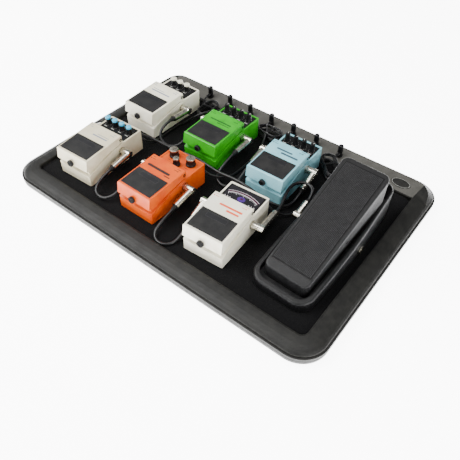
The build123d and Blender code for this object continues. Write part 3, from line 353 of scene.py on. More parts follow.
DC = {
    "outlet1_hank": [(-0.174, 0.16263, 0.03094), (-0.1734, 0.1533, 0.0306), (-0.169, 0.1465, 0.0278), (-0.161, 0.1455, 0.025), (-0.153, 0.1473, 0.0232)],
    "outlet2_hank": [(-0.125, 0.16263, 0.03094), (-0.1253, 0.1531, 0.0302), (-0.1284, 0.1449, 0.0266), (-0.1362, 0.1415, 0.0232)],
    "outlet3_hank": [(-0.076, 0.16263, 0.03094), (-0.0754, 0.1533, 0.0295), (-0.072, 0.1458, 0.025), (-0.064, 0.1428, 0.0214), (-0.054, 0.1443, 0.0206), (-0.044, 0.1473, 0.0212), (-0.0332, 0.1487, 0.0222)],
    "outlet5_hank": [(0.022, 0.16263, 0.03094), (0.0222, 0.1539, 0.0302), (0.021, 0.1459, 0.0266), (0.0146, 0.1407, 0.024), (0.0065, 0.1423, 0.0224)],
    "outlet6_hank": [(0.071, 0.16263, 0.03094), (0.0713, 0.1539, 0.0302), (0.0739, 0.1459, 0.0256), (0.0816, 0.1419, 0.022), (0.0908, 0.1431, 0.0212), (0.099, 0.1469, 0.0218), (0.1052, 0.1507, 0.0224)],
    "outlet7_hank": [(0.12, 0.16263, 0.03094), (0.1198, 0.1548, 0.0305), (0.1204, 0.1477, 0.0286), (0.1214, 0.1413, 0.027)],
    "hank_gate": [(-0.19532, 0.14121, 0.039), (-0.186, 0.1417, 0.037), (-0.1762, 0.1405, 0.031), (-0.167, 0.1385, 0.0246), (-0.156, 0.1347, 0.022)],
    "hank_delay": [(-0.19243, -0.02187, 0.039), (-0.1815, -0.0203, 0.037), (-0.1725, -0.0167, 0.0295), (-0.1674, -0.0082, 0.022), (-0.1656, 0.0053, 0.0193), (-0.1652, 0.0243, 0.0192), (-0.1658, 0.0443, 0.0192), (-0.165, 0.0653, 0.0192), (-0.163, 0.0838, 0.0192), (-0.1592, 0.0978, 0.0196), (-0.1525, 0.1095, 0.0212)],
    "outlet4_distortion": [(-0.027, 0.16263, 0.03094), (-0.0245, 0.1543, 0.0346), (-0.0185, 0.1463, 0.0362), (-0.0125, 0.1358, 0.0325), (-0.008, 0.1223, 0.026), (-0.0035, 0.1063, 0.021), (0, 0.0883, 0.0192), (0.002, 0.0683, 0.0192), (0.0026, 0.0473, 0.0192), (0.0028, 0.0273, 0.0194), (0.0025, 0.0113, 0.0222), (-0.001, -0.0017, 0.0268), (-0.009, -0.0122, 0.0292), (-0.021, -0.0177, 0.0315), (-0.0345, -0.0195, 0.036), (-0.04764, -0.0208, 0.039)],
    "hank_phaser": [(-0.05359, 0.13906, 0.039), (-0.0434, 0.1399, 0.0358), (-0.0368, 0.1429, 0.0284), (-0.0324, 0.1475, 0.0236)],
    "hank_chorus": [(0.05737, 0.13699, 0.039), (0.046, 0.1376, 0.037), (0.0355, 0.1368, 0.03), (0.025, 0.1388, 0.023), (0.015, 0.1438, 0.0214), (0.0094, 0.1457, 0.0214)],
    "hank_tuner": [(0.08073, -0.02327, 0.039), (0.094, -0.0213, 0.0375), (0.107, -0.0203, 0.0315), (0.119, -0.0153, 0.024), (0.1285, -0.0057, 0.02), (0.1332, 0.0093, 0.0192), (0.135, 0.0293, 0.0192), (0.1374, 0.0503, 0.0192), (0.1392, 0.0713, 0.0192), (0.1396, 0.0913, 0.0194), (0.1365, 0.1073, 0.0202), (0.1313, 0.1191, 0.0216)],
    "hank_wah": [(0.15702, 0.06324, 0.029), (0.1526, 0.0733, 0.0278), (0.1516, 0.0853, 0.0245), (0.149, 0.0978, 0.0222), (0.1455, 0.1098, 0.022), (0.1436, 0.1171, 0.0223)],
}
PATCH_D, DC_D = 0.005, 0.0034


def rope(name, pts, diameter, replaced):
    cu = bpy.data.curves.new(name, "CURVE")
    cu.dimensions = "3D"
    sp = cu.splines.new("NURBS")
    sp.points.add(len(pts) - 1)
    for p, q in zip(sp.points, pts):
        p.co = (q[0], q[1], q[2], 1.0)
    sp.order_u = 3
    sp.use_endpoint_u = True
    cu.resolution_u = 10
    cu.bevel_depth = diameter / 2
    cu.bevel_resolution = 5
    cu.use_fill_caps = True
    o = bpy.data.objects.new(name, cu)
    bpy.context.scene.collection.objects.link(o)
    cu.materials.append(MAT["jacket"])
    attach(o, BOARD)
    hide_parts(*replaced)
    return o


def spline_length(o):
    """Length of the smooth line itself, without its thickness."""
    cu = o.data.copy()
    cu.bevel_depth = 0
    tmp = bpy.data.objects.new("tmp_line", cu)
    bpy.context.scene.collection.objects.link(tmp)
    dg = bpy.context.evaluated_depsgraph_get()
    me = bpy.data.meshes.new_from_object(tmp.evaluated_get(dg))
    total = sum((me.vertices[e.vertices[0]].co - me.vertices[e.vertices[1]].co).length for e in me.edges)
    bpy.data.meshes.remove(me)
    bpy.data.objects.remove(tmp)
    bpy.data.curves.remove(cu)
    return total


def declare(o):
    round(spline_length(o), 4)


for name, pts in PATCH.items():
    declare(rope("patch_lead_" + name, pts, PATCH_D, ["patch_leads"]))


# power leads, each with its spare length in the loose turns of a tied hank
POWER = {
    "noise_gate": [(-0.174, 0.16263, 0.03094), (-0.1734, 0.1533, 0.0306), (-0.16775, 0.14142, 0.02653), (-0.16232, 0.1272, 0.02217), (-0.15849, 0.11386, 0.01959), (-0.14893, 0.10733, 0.01989), (-0.13938, 0.10913, 0.02027), (-0.13405, 0.11602, 0.02062), (-0.13421, 0.12407, 0.02086), (-0.13527, 0.13168, 0.02105), (-0.13478, 0.13929, 0.02127), (-0.1354, 0.14694, 0.02142), (-0.14038, 0.15291, 0.02173), (-0.14804, 0.15467, 0.02198), (-0.15527, 0.15135, 0.02227), (-0.15897, 0.14419, 0.0225), (-0.1588, 0.13606, 0.02275), (-0.15852, 0.12798, 0.02334), (-0.15882, 0.11999, 0.02432), (-0.15659, 0.11237, 0.02376), (-0.15027, 0.10773, 0.02377), (-0.14257, 0.10782, 0.02393), (-0.1365, 0.11247, 0.02417), (-0.13438, 0.11977, 0.02439), (-0.13613, 0.12722, 0.0247), (-0.13357, 0.13492, 0.02486), (-0.13363, 0.14422, 0.02498), (-0.14127, 0.15226, 0.02574), (-0.15491, 0.15144, 0.028), (-0.17044, 0.1466, 0.03203), (-0.186, 0.1417, 0.037), (-0.19532, 0.14121, 0.039)],
    "delay": [(-0.125, 0.16263, 0.03094), (-0.1253, 0.1531, 0.0302), (-0.12907, 0.14269, 0.02765), (-0.13292, 0.13123, 0.02777), (-0.13401, 0.12018, 0.02819), (-0.13732, 0.1109, 0.02812), (-0.14517, 0.10671, 0.02828), (-0.15336, 0.10844, 0.02849), (-0.15849, 0.11475, 0.02884), (-0.15864, 0.12277, 0.02902), (-0.15872, 0.13075, 0.02929), (-0.15908, 0.13878, 0.02944), (-0.15859, 0.14664, 0.03133), (-0.15324, 0.1527, 0.03197), (-0.1455, 0.15452, 0.03052), (-0.13817, 0.15127, 0.03039), (-0.13439, 0.14419, 0.03067), (-0.13477, 0.13627, 0.03087), (-0.13512, 0.12847, 0.03105), (-0.1346, 0.1208, 0.03197), (-0.13675, 0.11345, 0.03181), (-0.1427, 0.10887, 0.03198), (-0.15018, 0.10866, 0.03229), (-0.15645, 0.11297, 0.03242), (-0.15895, 0.12037, 0.03272), (-0.15811, 0.12826, 0.03292), (-0.15832, 0.13617, 0.03326), (-0.15837, 0.14394, 0.03436), (-0.15505, 0.15094, 0.03574), (-0.14829, 0.15497, 0.03495), (-0.14046, 0.154, 0.03422), (-0.13479, 0.14845, 0.03416), (-0.13326, 0.14054, 0.03466), (-0.13579, 0.13225, 0.03468), (-0.13175, 0.1231, 0.03511), (-0.13628, 0.11171, 0.03663), (-0.147, 0.10117, 0.03088), (-0.15835, 0.08651, 0.02264), (-0.1639, 0.06591, 0.01981), (-0.16547, 0.0445, 0.01927), (-0.16521, 0.02417, 0.0192), (-0.16556, 0.00592, 0.01924), (-0.16734, -0.00835, 0.02191), (-0.17261, -0.01686, 0.02965), (-0.1815, -0.0203, 0.037), (-0.19243, -0.02187, 0.039)],
    "phaser": [(-0.076, 0.16263, 0.03094), (-0.0754, 0.1533, 0.0295), (-0.07211, 0.14577, 0.02501), (-0.06374, 0.14277, 0.02133), (-0.05353, 0.14464, 0.02071), (-0.04324, 0.14803, 0.02087), (-0.03381, 0.15293, 0.01985), (-0.02557, 0.15818, 0.01977), (-0.0167, 0.15828, 0.02005), (-0.00841, 0.1584, 0.02034), (-0.00039, 0.15896, 0.02057), (0.00736, 0.1572, 0.02079), (0.01238, 0.15113, 0.02103), (0.01267, 0.14325, 0.02128), (0.00809, 0.1368, 0.02153), (0.00046, 0.1345, 0.02177), (-0.00748, 0.13502, 0.02199), (-0.01536, 0.13506, 0.02213), (-0.02311, 0.13435, 0.02239), (-0.02999, 0.13773, 0.02266), (-0.03346, 0.14442, 0.02295), (-0.03235, 0.15178, 0.02327), (-0.02707, 0.15714, 0.02353), (-0.01952, 0.15835, 0.02372), (-0.01183, 0.15778, 0.02394), (-0.00413, 0.15798, 0.02417), (0.0036, 0.15797, 0.02439), (0.01017, 0.15386, 0.02464), (0.01308, 0.14664, 0.02489), (0.011, 0.13904, 0.02514), (0.00454, 0.13421, 0.0254), (-0.0039, 0.13424, 0.02549), (-0.01291, 0.13479, 0.02606), (-0.02287, 0.13501, 0.02652), (-0.03335, 0.13732, 0.02981), (-0.0434, 0.1399, 0.0358), (-0.05359, 0.13906, 0.039)],
    "chorus": [(0.022, 0.16263, 0.03094), (0.0222, 0.1539, 0.0302), (0.02118, 0.14609, 0.02717), (0.01592, 0.13983, 0.02654), (0.009, 0.13674, 0.02934), (0.00101, 0.13628, 0.02841), (-0.00687, 0.13567, 0.02927), (-0.01463, 0.1341, 0.02988), (-0.02229, 0.1359, 0.0307), (-0.0296, 0.13889, 0.0312), (-0.03381, 0.14507, 0.02951), (-0.03344, 0.15269, 0.02848), (-0.02839, 0.15879, 0.02831), (-0.0204, 0.16058, 0.02894), (-0.01254, 0.15835, 0.02939), (-0.00465, 0.1584, 0.02966), (0.00293, 0.15791, 0.02944), (0.00863, 0.15322, 0.02936), (0.0107, 0.14636, 0.03052), (0.00839, 0.1396, 0.03224), (0.00238, 0.13516, 0.03274), (-0.00524, 0.13504, 0.03253), (-0.01292, 0.1356, 0.03345), (-0.02079, 0.13458, 0.03401), (-0.02881, 0.13584, 0.03428), (-0.03434, 0.14172, 0.03369), (-0.03506, 0.14969, 0.0324), (-0.03075, 0.15656, 0.03246), (-0.0232, 0.15953, 0.03292), (-0.01503, 0.15848, 0.03294), (-0.0064, 0.15891, 0.03351), (0.00302, 0.15865, 0.03413), (0.0121, 0.15383, 0.03186), (0.01637, 0.14669, 0.02354), (0.02575, 0.13892, 0.02328), (0.03591, 0.13685, 0.03011), (0.046, 0.1376, 0.037), (0.05737, 0.13699, 0.039)],
    "tuner": [(0.071, 0.16263, 0.03094), (0.0713, 0.1539, 0.0302), (0.0739, 0.14604, 0.02567), (0.08158, 0.14194, 0.02203), (0.09062, 0.14316, 0.02123), (0.09857, 0.1469, 0.02138), (0.10502, 0.15182, 0.01927), (0.11251, 0.15448, 0.01983), (0.11988, 0.15228, 0.01983), (0.12529, 0.147, 0.02009), (0.1309, 0.14188, 0.02041), (0.13664, 0.13674, 0.0206), (0.14246, 0.13151, 0.02081), (0.14822, 0.12608, 0.021), (0.14999, 0.11832, 0.02109), (0.14661, 0.11109, 0.02108), (0.13952, 0.10745, 0.02145), (0.13165, 0.10895, 0.02182), (0.1259, 0.11455, 0.02202), (0.12011, 0.1201, 0.02222), (0.11433, 0.12564, 0.02242), (0.1084, 0.13083, 0.0226), (0.10256, 0.13596, 0.02284), (0.10096, 0.14334, 0.02324), (0.10394, 0.15012, 0.02363), (0.1102, 0.15389, 0.02362), (0.11742, 0.15339, 0.02373), (0.123, 0.14895, 0.02398), (0.12803, 0.144, 0.02401), (0.13323, 0.13914, 0.02429), (0.1385, 0.13355, 0.02431), (0.14658, 0.1298, 0.02444), (0.15107, 0.11992, 0.02551), (0.14567, 0.10718, 0.0242), (0.14066, 0.09087, 0.02026), (0.13914, 0.07104, 0.0194), (0.13727, 0.05007, 0.01923), (0.135, 0.02925, 0.0192), (0.1333, 0.00986, 0.01919), (0.12865, -0.00573, 0.01991), (0.11871, -0.01555, 0.02413), (0.10697, -0.02028, 0.0315), (0.094, -0.0213, 0.0375), (0.08073, -0.02327, 0.039)],
    "wah": [(0.12, 0.16263, 0.03094), (0.1198, 0.1548, 0.0305), (0.12295, 0.14774, 0.02749), (0.12941, 0.14297, 0.02798), (0.13517, 0.13774, 0.02802), (0.14068, 0.13252, 0.02804), (0.1463, 0.12765, 0.02821), (0.14815, 0.12053, 0.02826), (0.14559, 0.11373, 0.02846), (0.13963, 0.10964, 0.02877), (0.13237, 0.1097, 0.02901), (0.12632, 0.11408, 0.02922), (0.12133, 0.11986, 0.02939), (0.11552, 0.12506, 0.02961), (0.10959, 0.13029, 0.02983), (0.10284, 0.13465, 0.02998), (0.09941, 0.14194, 0.03001), (0.10116, 0.14965, 0.03023), (0.10713, 0.15464, 0.03081), (0.11485, 0.15499, 0.03181), (0.12129, 0.15042, 0.03285), (0.12762, 0.14552, 0.03152), (0.13368, 0.14017, 0.0317), (0.13943, 0.13463, 0.03171), (0.14549, 0.1296, 0.03196), (0.14892, 0.12268, 0.03184), (0.14759, 0.11522, 0.03209), (0.14221, 0.11005, 0.03241), (0.13482, 0.109, 0.03271), (0.12815, 0.11255, 0.0329), (0.1233, 0.11833, 0.03307), (0.11782, 0.12347, 0.03327), (0.11232, 0.12857, 0.03346), (0.10636, 0.13323, 0.03365), (0.1018, 0.13934, 0.03381), (0.10171, 0.14699, 0.03401), (0.10609, 0.15311, 0.0345), (0.1132, 0.15545, 0.03519), (0.12034, 0.15312, 0.03614), (0.12581, 0.14771, 0.03601), (0.13132, 0.14218, 0.03529), (0.13708, 0.13633, 0.03561), (0.14465, 0.13155, 0.03544), (0.15013, 0.12294, 0.03668), (0.15011, 0.11148, 0.03278), (0.14987, 0.09969, 0.02548), (0.15145, 0.08592, 0.02517), (0.1526, 0.0733, 0.0278), (0.15702, 0.06324, 0.029)],
}
for name, pts in POWER.items():
    declare(rope("power_lead_" + name, pts, DC_D, ["dc_leads", "dc_lead_coils"]))
pts = DC["outlet4_distortion"]
declare(rope("power_lead_distortion", pts, DC_D, ["dc_leads"]))


# ------------------------------------------------------------------ mesh building
class Shape:
    """Collects verts and faces with a material per face, in any frame."""

    def __init__(self):
        self.v, self.f, self.m = [], [], []

    def add(self, verts, faces, mat, mx=None):
        n = len(self.v)
        self.v += [tuple((mx @ Vector(p)) if mx else p) for p in verts]
        self.f += [tuple(n + i for i in f) for f in faces]
        self.m += [mat] * len(faces)

    def lathe(self, profile, mx, mat, segs=40, flutes=0, depth=0.0, band=(0, 0), mats=None):
        """profile of (radius, height) from the bottom up; flutes cut between the two heights of band."""
        verts, faces = [], []
        for r, h in profile:
            for i in range(segs):
                a = 2 * math.pi * i / segs
                rr = r
                if flutes and band[0] <= h <= band[1]:
                    rr = r - depth * (0.5 - 0.5 * math.cos(flutes * a))
                verts.append((rr * math.cos(a), rr * math.sin(a), h))
        which = []
        for k in range(len(profile) - 1):
            for i in range(segs):
                j = (i + 1) % segs
                faces.append((k * segs + i, k * segs + j, (k + 1) * segs + j, (k + 1) * segs + i))
                which.append(mats[k] if mats else mat)
        n = len(self.v)
        self.v += [tuple(mx @ Vector(p)) for p in verts]
        self.f += [tuple(n + i for i in f) for f in faces]
        self.m += which
        self.f += [tuple(n + i for i in reversed(range(segs))), tuple(n + (len(profile) - 1) * segs + i for i in range(segs))]
        self.m += [which[0], which[-1]]

    def prism(self, outline, z0, z1, mx, mat, chamfer=0.0):
        k = len(outline)
        cx, cy = sum(p[0] for p in outline) / k, sum(p[1] for p in outline) / k
        rings = [(1.0, z0), (1.0, z1 - chamfer)] if chamfer else [(1.0, z0)]
        verts = []
        for s, z in rings:
            verts += [(p[0], p[1], z) for p in outline]
        if chamfer:
            verts += [(p[0] + (cx - p[0]) * min(1, chamfer / max(1e-6, math.hypot(cx - p[0], cy - p[1]))),
                       p[1] + (cy - p[1]) * min(1, chamfer / max(1e-6, math.hypot(cx - p[0], cy - p[1]))), z1) for p in outline]
        else:
            verts += [(p[0], p[1], z1) for p in outline]
        layers = len(verts) // k
        faces = []
        for a in range(layers - 1):
            for i in range(k):
                j = (i + 1) % k
                faces.append((a * k + i, a * k + j, (a + 1) * k + j, (a + 1) * k + i))
        faces.append(tuple(reversed(range(k))))
        faces.append(tuple((layers - 1) * k + i for i in range(k)))
        self.add(verts, faces, mat, mx)

    def build(self, name, mats, body, replaced=(), smooth=35):
        me = bpy.data.meshes.new(name)
        me.from_pydata(self.v, [], self.f)
        for m in mats:
            me.materials.append(m)
        for p, i in zip(me.polygons, self.m):
            p.material_index = i
            p.use_smooth = True
        me.update()
        me.set_sharp_from_angle(angle=math.radians(smooth))
        o = bpy.data.objects.new(name, me)
        bpy.context.scene.collection.objects.link(o)
        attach(o, body)
        if replaced:
            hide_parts(*replaced)
        return o


def rounded(w, h, r, cx=0.0, cy=0.0, n=5):
    out = []
    for qx, qy, a0 in ((1, 1, 0), (-1, 1, 90), (-1, -1, 180), (1, -1, 270)):
        for i in range(n + 1):
            a = math.radians(a0 + 90 * i / n)
            out.append((cx + qx * (w / 2 - r) + r * math.cos(a), cy + qy * (h / 2 - r) + r * math.sin(a)))
    return out


def ellipse(w, h, n=40, cx=0.0, cy=0.0):
    return [(cx + w / 2 * math.cos(2 * math.pi * i / n), cy + h / 2 * math.sin(2 * math.pi * i / n)) for i in range(n)]


# ------------------------------------------------------------------ finishes of the carried-over parts
def dress(node, *mats):
    o = NODES[node]
    o.data.materials.clear()
    for m in mats:
        o.data.materials.append(MAT[m])
    return o


def choose(node, test, index=1):
    """Faces whose centre and normal pass the test take the second material."""
    o = NODES[node]
    for p in o.data.polygons:
        p.material_index = index if test(p.center, p.normal) else p.material_index


for n, m in {"case_feet": "foot", "base_cover": "cover", "floor_lining": "carpet", "dc_sockets": "black", "circuit_boards": "board",
             "case_screws": "steel", "control_panels": "panel", "tuner_display": "display", "indicator_leds": "red",
             "pedal_base_plates": "foot", "batteries": "battery", "foot_switches": "black", "jack_sockets": "nickel",
             "output_jack": "nickel", "input_jack": "nickel", "wah_base": "wah", "wah_pivot_pin": "steel", "dc_plugs": "black"}.items():
    dress(n, m)

dress("control_panels", "panel", "distortion")
DS_INV = frame_of("distortion").inverted()
choose("control_panels", lambda c, n: abs((DS_INV @ c).x) < 33 and 85 < (DS_INV @ c).y < 125 and (DS_INV @ c).z < 41)
dress("case_shell", "case", "console")
choose("case_shell", lambda c, n: c.y > 0.1586 and abs(c.x) < 0.262 and c.z > 0.0195 and c.y < 0.2045)
# treadle faces on the mat take the near-black valley colour, painted shade between the ribs
dress("wah_treadle", "wah", "mat_painted_shade_valley")
WAH_INV = frame_of("wah").inverted()


def on_mat(c, n):
    q = WAH_INV @ c
    return abs(q.x) <= 32.25 and -0.1 <= q.y <= 181.1 and q.z > 37.5 + 0.3127 * q.y - 0.75


choose("wah_treadle", on_mat)

for pedal in KNOBS:
    dress(pedal + "_housing", pedal)
    dress(pedal + "_treadle", pedal, "pad", "pad_edge")
    inv = frame_of(pedal).inverted()

    def on_pad(c, n, inv=inv):
        q = inv @ c
        return abs(q.x) <= 30.72 and 4.85 <= q.y <= 45.05 and q.z > 51.4 + 0.05198 * (q.y - 1.3) + 0.04

    choose(pedal + "_treadle", on_pad)
    dress(pedal + "_thumbscrew", "black")
    for i in range(len(KNOBS[pedal])):
        dress(f"{pedal}_knob_{i + 1}", "black")

# ------------------------------------------------------------------ knobs and thumbscrews
CAPS = {"delay": "cap_blue", "noise_gate": "cap_white", "distortion": "nickel_worn", "phaser": "black", "chorus": "black"}
TURNED = {"delay": (35, -20, 60, 10), "noise_gate": (-30, 45, 0), "distortion": (30, 10, -35), "phaser": (20, -40, 15, 50), "chorus": (-10, 40, -30, 25)}
for pedal, knobs in KNOBS.items():
    mx = frame_of(pedal)
    for i, (kx, ky, kr) in enumerate(knobs):
        s = Shape()
        spin = mx @ Matrix.Translation((kx, ky, 40.6)) @ Matrix.Rotation(math.radians(-TURNED[pedal][i]), 4, "Z")
        big = pedal == "distortion"
        cap = kr - (1.5 if big else 1.0)
        if big:
            s.lathe([(kr - 0.02, 0.0), (kr, 0.4), (kr, 2.2), (kr - 0.5, 2.8), (kr - 0.9, 3.2), (kr - 1.15, 10.8), (kr - 1.3, 11.4)],
                    spin, 0, segs=96, flutes=24, depth=0.45, band=(3.0, 11.0))
            s.lathe([(kr - 1.3, 11.3), (kr - 1.1, 11.6), (kr - 1.1, 13.6), (kr - 1.5, 14.2), (kr - 2.3, 14.42), (0.3, 14.3)], spin, 1, segs=64)
            s.prism([(-0.35, 0.6), (0.35, 0.6), (0.35, kr - 2.0), (-0.35, kr - 2.0)], 14.3, 14.5, spin, 0)
        elif CAPS[pedal] != "black":
            s.lathe([(kr - 0.3, 0.0), (kr - 0.2, 0.5), (kr - 0.3, 1.0), (kr - 0.6, 10.2)], spin, 0, segs=72, flutes=18, depth=0.42, band=(0.8, 9.9))
            s.lathe([(kr - 0.6, 10.1), (kr - 0.15, 10.4), (kr - 0.05, 10.9), (kr - 0.1, 13.5), (kr - 0.5, 14.2), (kr - 1.2, 14.45), (0.3, 14.42)],
                    spin, 1, segs=64)
            s.prism([(-0.3, 0.6), (0.3, 0.6), (0.3, kr - 0.9), (-0.3, kr - 0.9)], 14.3, 14.5, spin, 0)
        else:
            s.lathe([(kr - 0.02, 0.0), (kr, 0.5), (kr - 0.15, 1.6), (kr - 0.35, 1.9), (kr - 0.45, 2.4), (kr - 0.65, 12.4), (kr - 0.95, 13.6), (cap, 14.0)],
                    spin, 0, segs=72, flutes=18, depth=0.42, band=(2.0, 13.0))
            s.lathe([(cap, 13.9), (cap, 14.15), (cap - 0.3, 14.4), (0.3, 14.42)], spin, 1, segs=48)
            s.prism([(-0.35, 0.3), (0.35, 0.3), (0.35, cap - 0.1), (-0.35, cap - 0.1)], 14.38, 14.5, spin, 2)
        s.prism([(-0.35, kr - 0.75), (0.35, kr - 0.75), (0.35, kr - 0.3), (-0.35, kr - 0.3)], 2.4, 10.0, spin, 2)
        s.build(f"{pedal}_knob_{i + 1}_cap", [MAT["black"], MAT[CAPS[pedal]], MAT["ink_white"]], f"{pedal}_knob_{i + 1}",
                [f"{pedal}_knob_{i + 1}"])
    s = Shape()
    along = mx @ Matrix.Translation((0, -2.0, 36.5)) @ Matrix.Rotation(math.radians(90), 4, "X")
    s.lathe([(1.9, -4.2), (1.9, -0.4), (4.4, 0.0), (5.3, 0.35), (5.6, 0.9), (5.6, 4.5), (5.2, 5.1), (4.3, 5.4), (3.9, 5.3), (3.4, 4.7)],
            along, 0, segs=96, flutes=24, depth=0.55, band=(0.3, 5.15))
    s.build(f"{pedal}_thumbscrew_head", [MAT["black"]], f"{pedal}_thumbscrew", [f"{pedal}_thumbscrew"])


# ------------------------------------------------------------------ printed marks on the treadles
def bar(s, x0, x1, y, h, mx, mat=0, z=0.0):
    s.prism(rounded(x1 - x0, h, h * 0.45, (x0 + x1) / 2, y, 3), z - 0.25, z + 0.07, mx, mat)


def arrow(s, x, y, way, mx, mat=0):
    s.prism([(x, y + 1.5), (x + way * 2.4, y), (x, y - 1.5)], -0.25, 0.07, mx, mat)


def slope(pedal):
    """The treadle's top plane: local x, y along the slope, z out of it."""
    return frame_of(pedal) @ Matrix.Translation((0, 1.3, 51.4)) @ Matrix.Rotation(math.atan(0.05198), 4, "X")


MARKS = {
    "delay": ("ink_grey", [(-9, 24, 57, 2.4), (-2, 24, 61.5, 1.0)], (-28, 27, 71)),
    "noise_gate": ("ink_grey", [(-22, 22, 57, 2.6), (-22, 4, 62, 1.2)], (-28, 27, 71)),
    "distortion": ("ink_black", [(-25, 21, 58, 4.6), (14, 26, 52.5, 1.8)], (-28, 27, 72)),
    "phaser": ("ink_green", [(-22, 22, 58.5, 2.6), (-4, 22, 53.5, 1.3)], (-28, 27, 72)),
    "chorus": ("ink_blue", [(-18, 12, 63.5, 3.4), (-6, 26, 56.5, 3.6)], (-28, 27, 73)),
    "tuner": ("ink_coral", [(-14, 26, 62.5, 3.6), (2, 24, 55.5, 3.6)], (-28, 27, 73)),
}
for pedal, (colour, bars, (ax, bx, ay)) in MARKS.items():
    s = Shape()
    mx = slope(pedal)
    for x0, x1, y, h in bars:
        bar(s, x0, x1, y, h, mx)
    # jack arrows with a short dash each, and a small dash by the lamp
    arrow(s, ax - 1.8, ay, -1, mx)
    bar(s, ax, ax + 6.5, ay, 0.9, mx)
    arrow(s, bx - 0.4, ay, -1, mx)
    bar(s, bx - 8.5, bx - 1.8, ay, 0.9, mx)
    bar(s, ax - 3, ax + 3.5, ay + 4.2, 0.8, mx)
    bar(s, bx - 5.5, bx + 2, ay + 4.2, 0.8, mx)
    s.build(pedal + "_marks", [MAT[colour]], pedal + "_treadle")

# rubber pads: a bare sunk plate with a thin border, and a moulded edge line
for pedal in KNOBS:
    s = Shape()
    mx = frame_of(pedal) @ Matrix.Translation((0, 4.9, 52.60)) @ Matrix.Rotation(math.atan(0.05212), 4, "X")
    outer, inner = rounded(36, 9.0, 2.0, 0, 31.5), rounded(34.6, 7.6, 1.5, 0, 31.5)
    k = len(outer)
    verts = [(p[0], p[1], z) for z in (-0.2, 0.16) for ring in (outer, inner) for p in ring]
    faces = []
    for i in range(k):
        j = (i + 1) % k
        faces += [(2 * k + i, 2 * k + j, 3 * k + j, 3 * k + i), (i, j, 2 * k + j, 2 * k + i), (3 * k + i, 3 * k + j, k + j, k + i)]
    s.add(verts, faces, 0, mx)
    s.prism(rounded(34.6, 7.6, 1.5, 0, 31.5), -0.2, 0.05, mx, 1)
    s.build(pedal + "_pad_plate", [MAT["pad"], MAT["pad_edge"]], pedal + "_treadle")

# hinge bushes in the treadles' sides
for pedal in KNOBS:
    s = Shape()
    for side in (-1, 1):
        mx = frame_of(pedal) @ Matrix.Translation((side * 33.9, 78.8, 48.5)) @ Matrix.Rotation(math.radians(90) * side, 4, "Y")
        s.lathe([(2.9, 0.0), (2.9, 0.45), (2.5, 0.75), (1.3, 0.8), (1.1, 0.4), (0.2, 0.4)], mx, 0, segs=32)
    s.build(pedal + "_hinge_bushes", [MAT["black"]], pedal + "_treadle")

# the wah mat's fine lengthwise ribs
s = Shape()
mx = frame_of("wah") @ Matrix.Translation((0, 0, 38.1)) @ Matrix.Rotation(math.atan(0.3127), 4, "X")
count, pitch = 29, 2.12
for k in range(count):
    x = (k - (count - 1) / 2) * pitch
    y0, y1 = 1.8, 187.6
    verts = [(x - 0.72, y0, -0.1), (x + 0.72, y0, -0.1), (x + 0.42, y0 + 0.3, 0.62), (x - 0.42, y0 + 0.3, 0.62),
             (x - 0.72, y1, -0.1), (x + 0.72, y1, -0.1), (x + 0.42, y1 - 0.3, 0.62), (x - 0.42, y1 - 0.3, 0.62)]
    s.add(verts, [(0, 1, 2, 3), (7, 6, 5, 4), (1, 5, 6, 2), (2, 6, 7, 3), (3, 7, 4, 0), (0, 4, 5, 1)], 0, mx)
s.build("wah_mat_ribs", [MAT["mat"]], "wah_treadle")

# ------------------------------------------------------------------ dial marks round the knobs
for pedal, knobs in KNOBS.items():
    if not knobs:
        continue
    s = Shape()
    mx = frame_of(pedal)
    for kx, ky, kr in knobs:
        for a in range(-150, 151, 30):
            t = math.radians(90 - a)
            r0, r1 = kr + 0.55, kr + (1.7 if a % 60 else 2.1)
            if kr < 6:
                r1 = kr + 1.3
            d = Vector((math.cos(t), math.sin(t), 0))
            q = Vector((-d.y, d.x, 0)) * 0.16
            c = Vector((kx, ky, 0))
            pts = [c + d * r0 - q, c + d * r0 + q, c + d * r1 + q, c + d * r1 - q]
            s.prism([(p.x, p.y) for p in pts], 39.8, 40.06, mx, 0)
        bar(s, kx - 3.4, kx + 3.4, ky - kr - 3.4, 0.8, mx @ Matrix.Translation((0, 0, 40.0)))
    s.build(pedal + "_dial_marks", [MAT["ink_black" if pedal == "distortion" else "ink_white"]], BOARD)

# ------------------------------------------------------------------ tuner display: an arc scale, ticks, a round window
s = Shape()
mx = frame_of("tuner") @ Matrix.Translation((0, 0, 40.9))
cx, cy, r0 = 0.0, 55.0, 58.5
for k, (ra, rb, mat) in enumerate(((r0 - 3.0, r0 - 1.9, 1), (r0 - 1.8, r0 + 1.4, 3), (r0 + 1.5, r0 + 2.1, 1))):
    a0, a1, n = 62.5, 117.5, 44
    pts = [(cx + rb * math.cos(math.radians(a0 + (a1 - a0) * i / n)), cy + rb * math.sin(math.radians(a0 + (a1 - a0) * i / n))) for i in range(n + 1)]
    pts += [(cx + ra * math.cos(math.radians(a1 - (a1 - a0) * i / n)), cy + ra * math.sin(math.radians(a1 - (a1 - a0) * i / n))) for i in range(n + 1)]
    base = len(s.v)
    m = n + 1
    verts = [(p[0], p[1], 0.06) for p in pts]
    faces = [(i, i + 1, 2 * m - 2 - i, 2 * m - 1 - i) for i in range(n)]
    s.add(verts, faces, mat, mx)
for i in range(21):
    t = math.radians(63 + 54 * i / 20)
    d = Vector((math.cos(t), math.sin(t), 0))
    q = Vector((-d.y, d.x, 0)) * (0.35 if i % 5 == 0 else 0.22)
    ra, rb = r0 - (6.4 if i % 5 == 0 else 5.0), r0 - 3.6
    c = Vector((cx, cy, 0))
    pts = [c + d * ra - q, c + d * ra + q, c + d * rb + q, c + d * rb - q]
    s.prism([(p.x, p.y) for p in pts], -0.1, 0.06, mx, 1)
s.prism(ellipse(13.5, 11.0, 36, 0.5, 100.5), -0.1, 0.09, mx, 0)
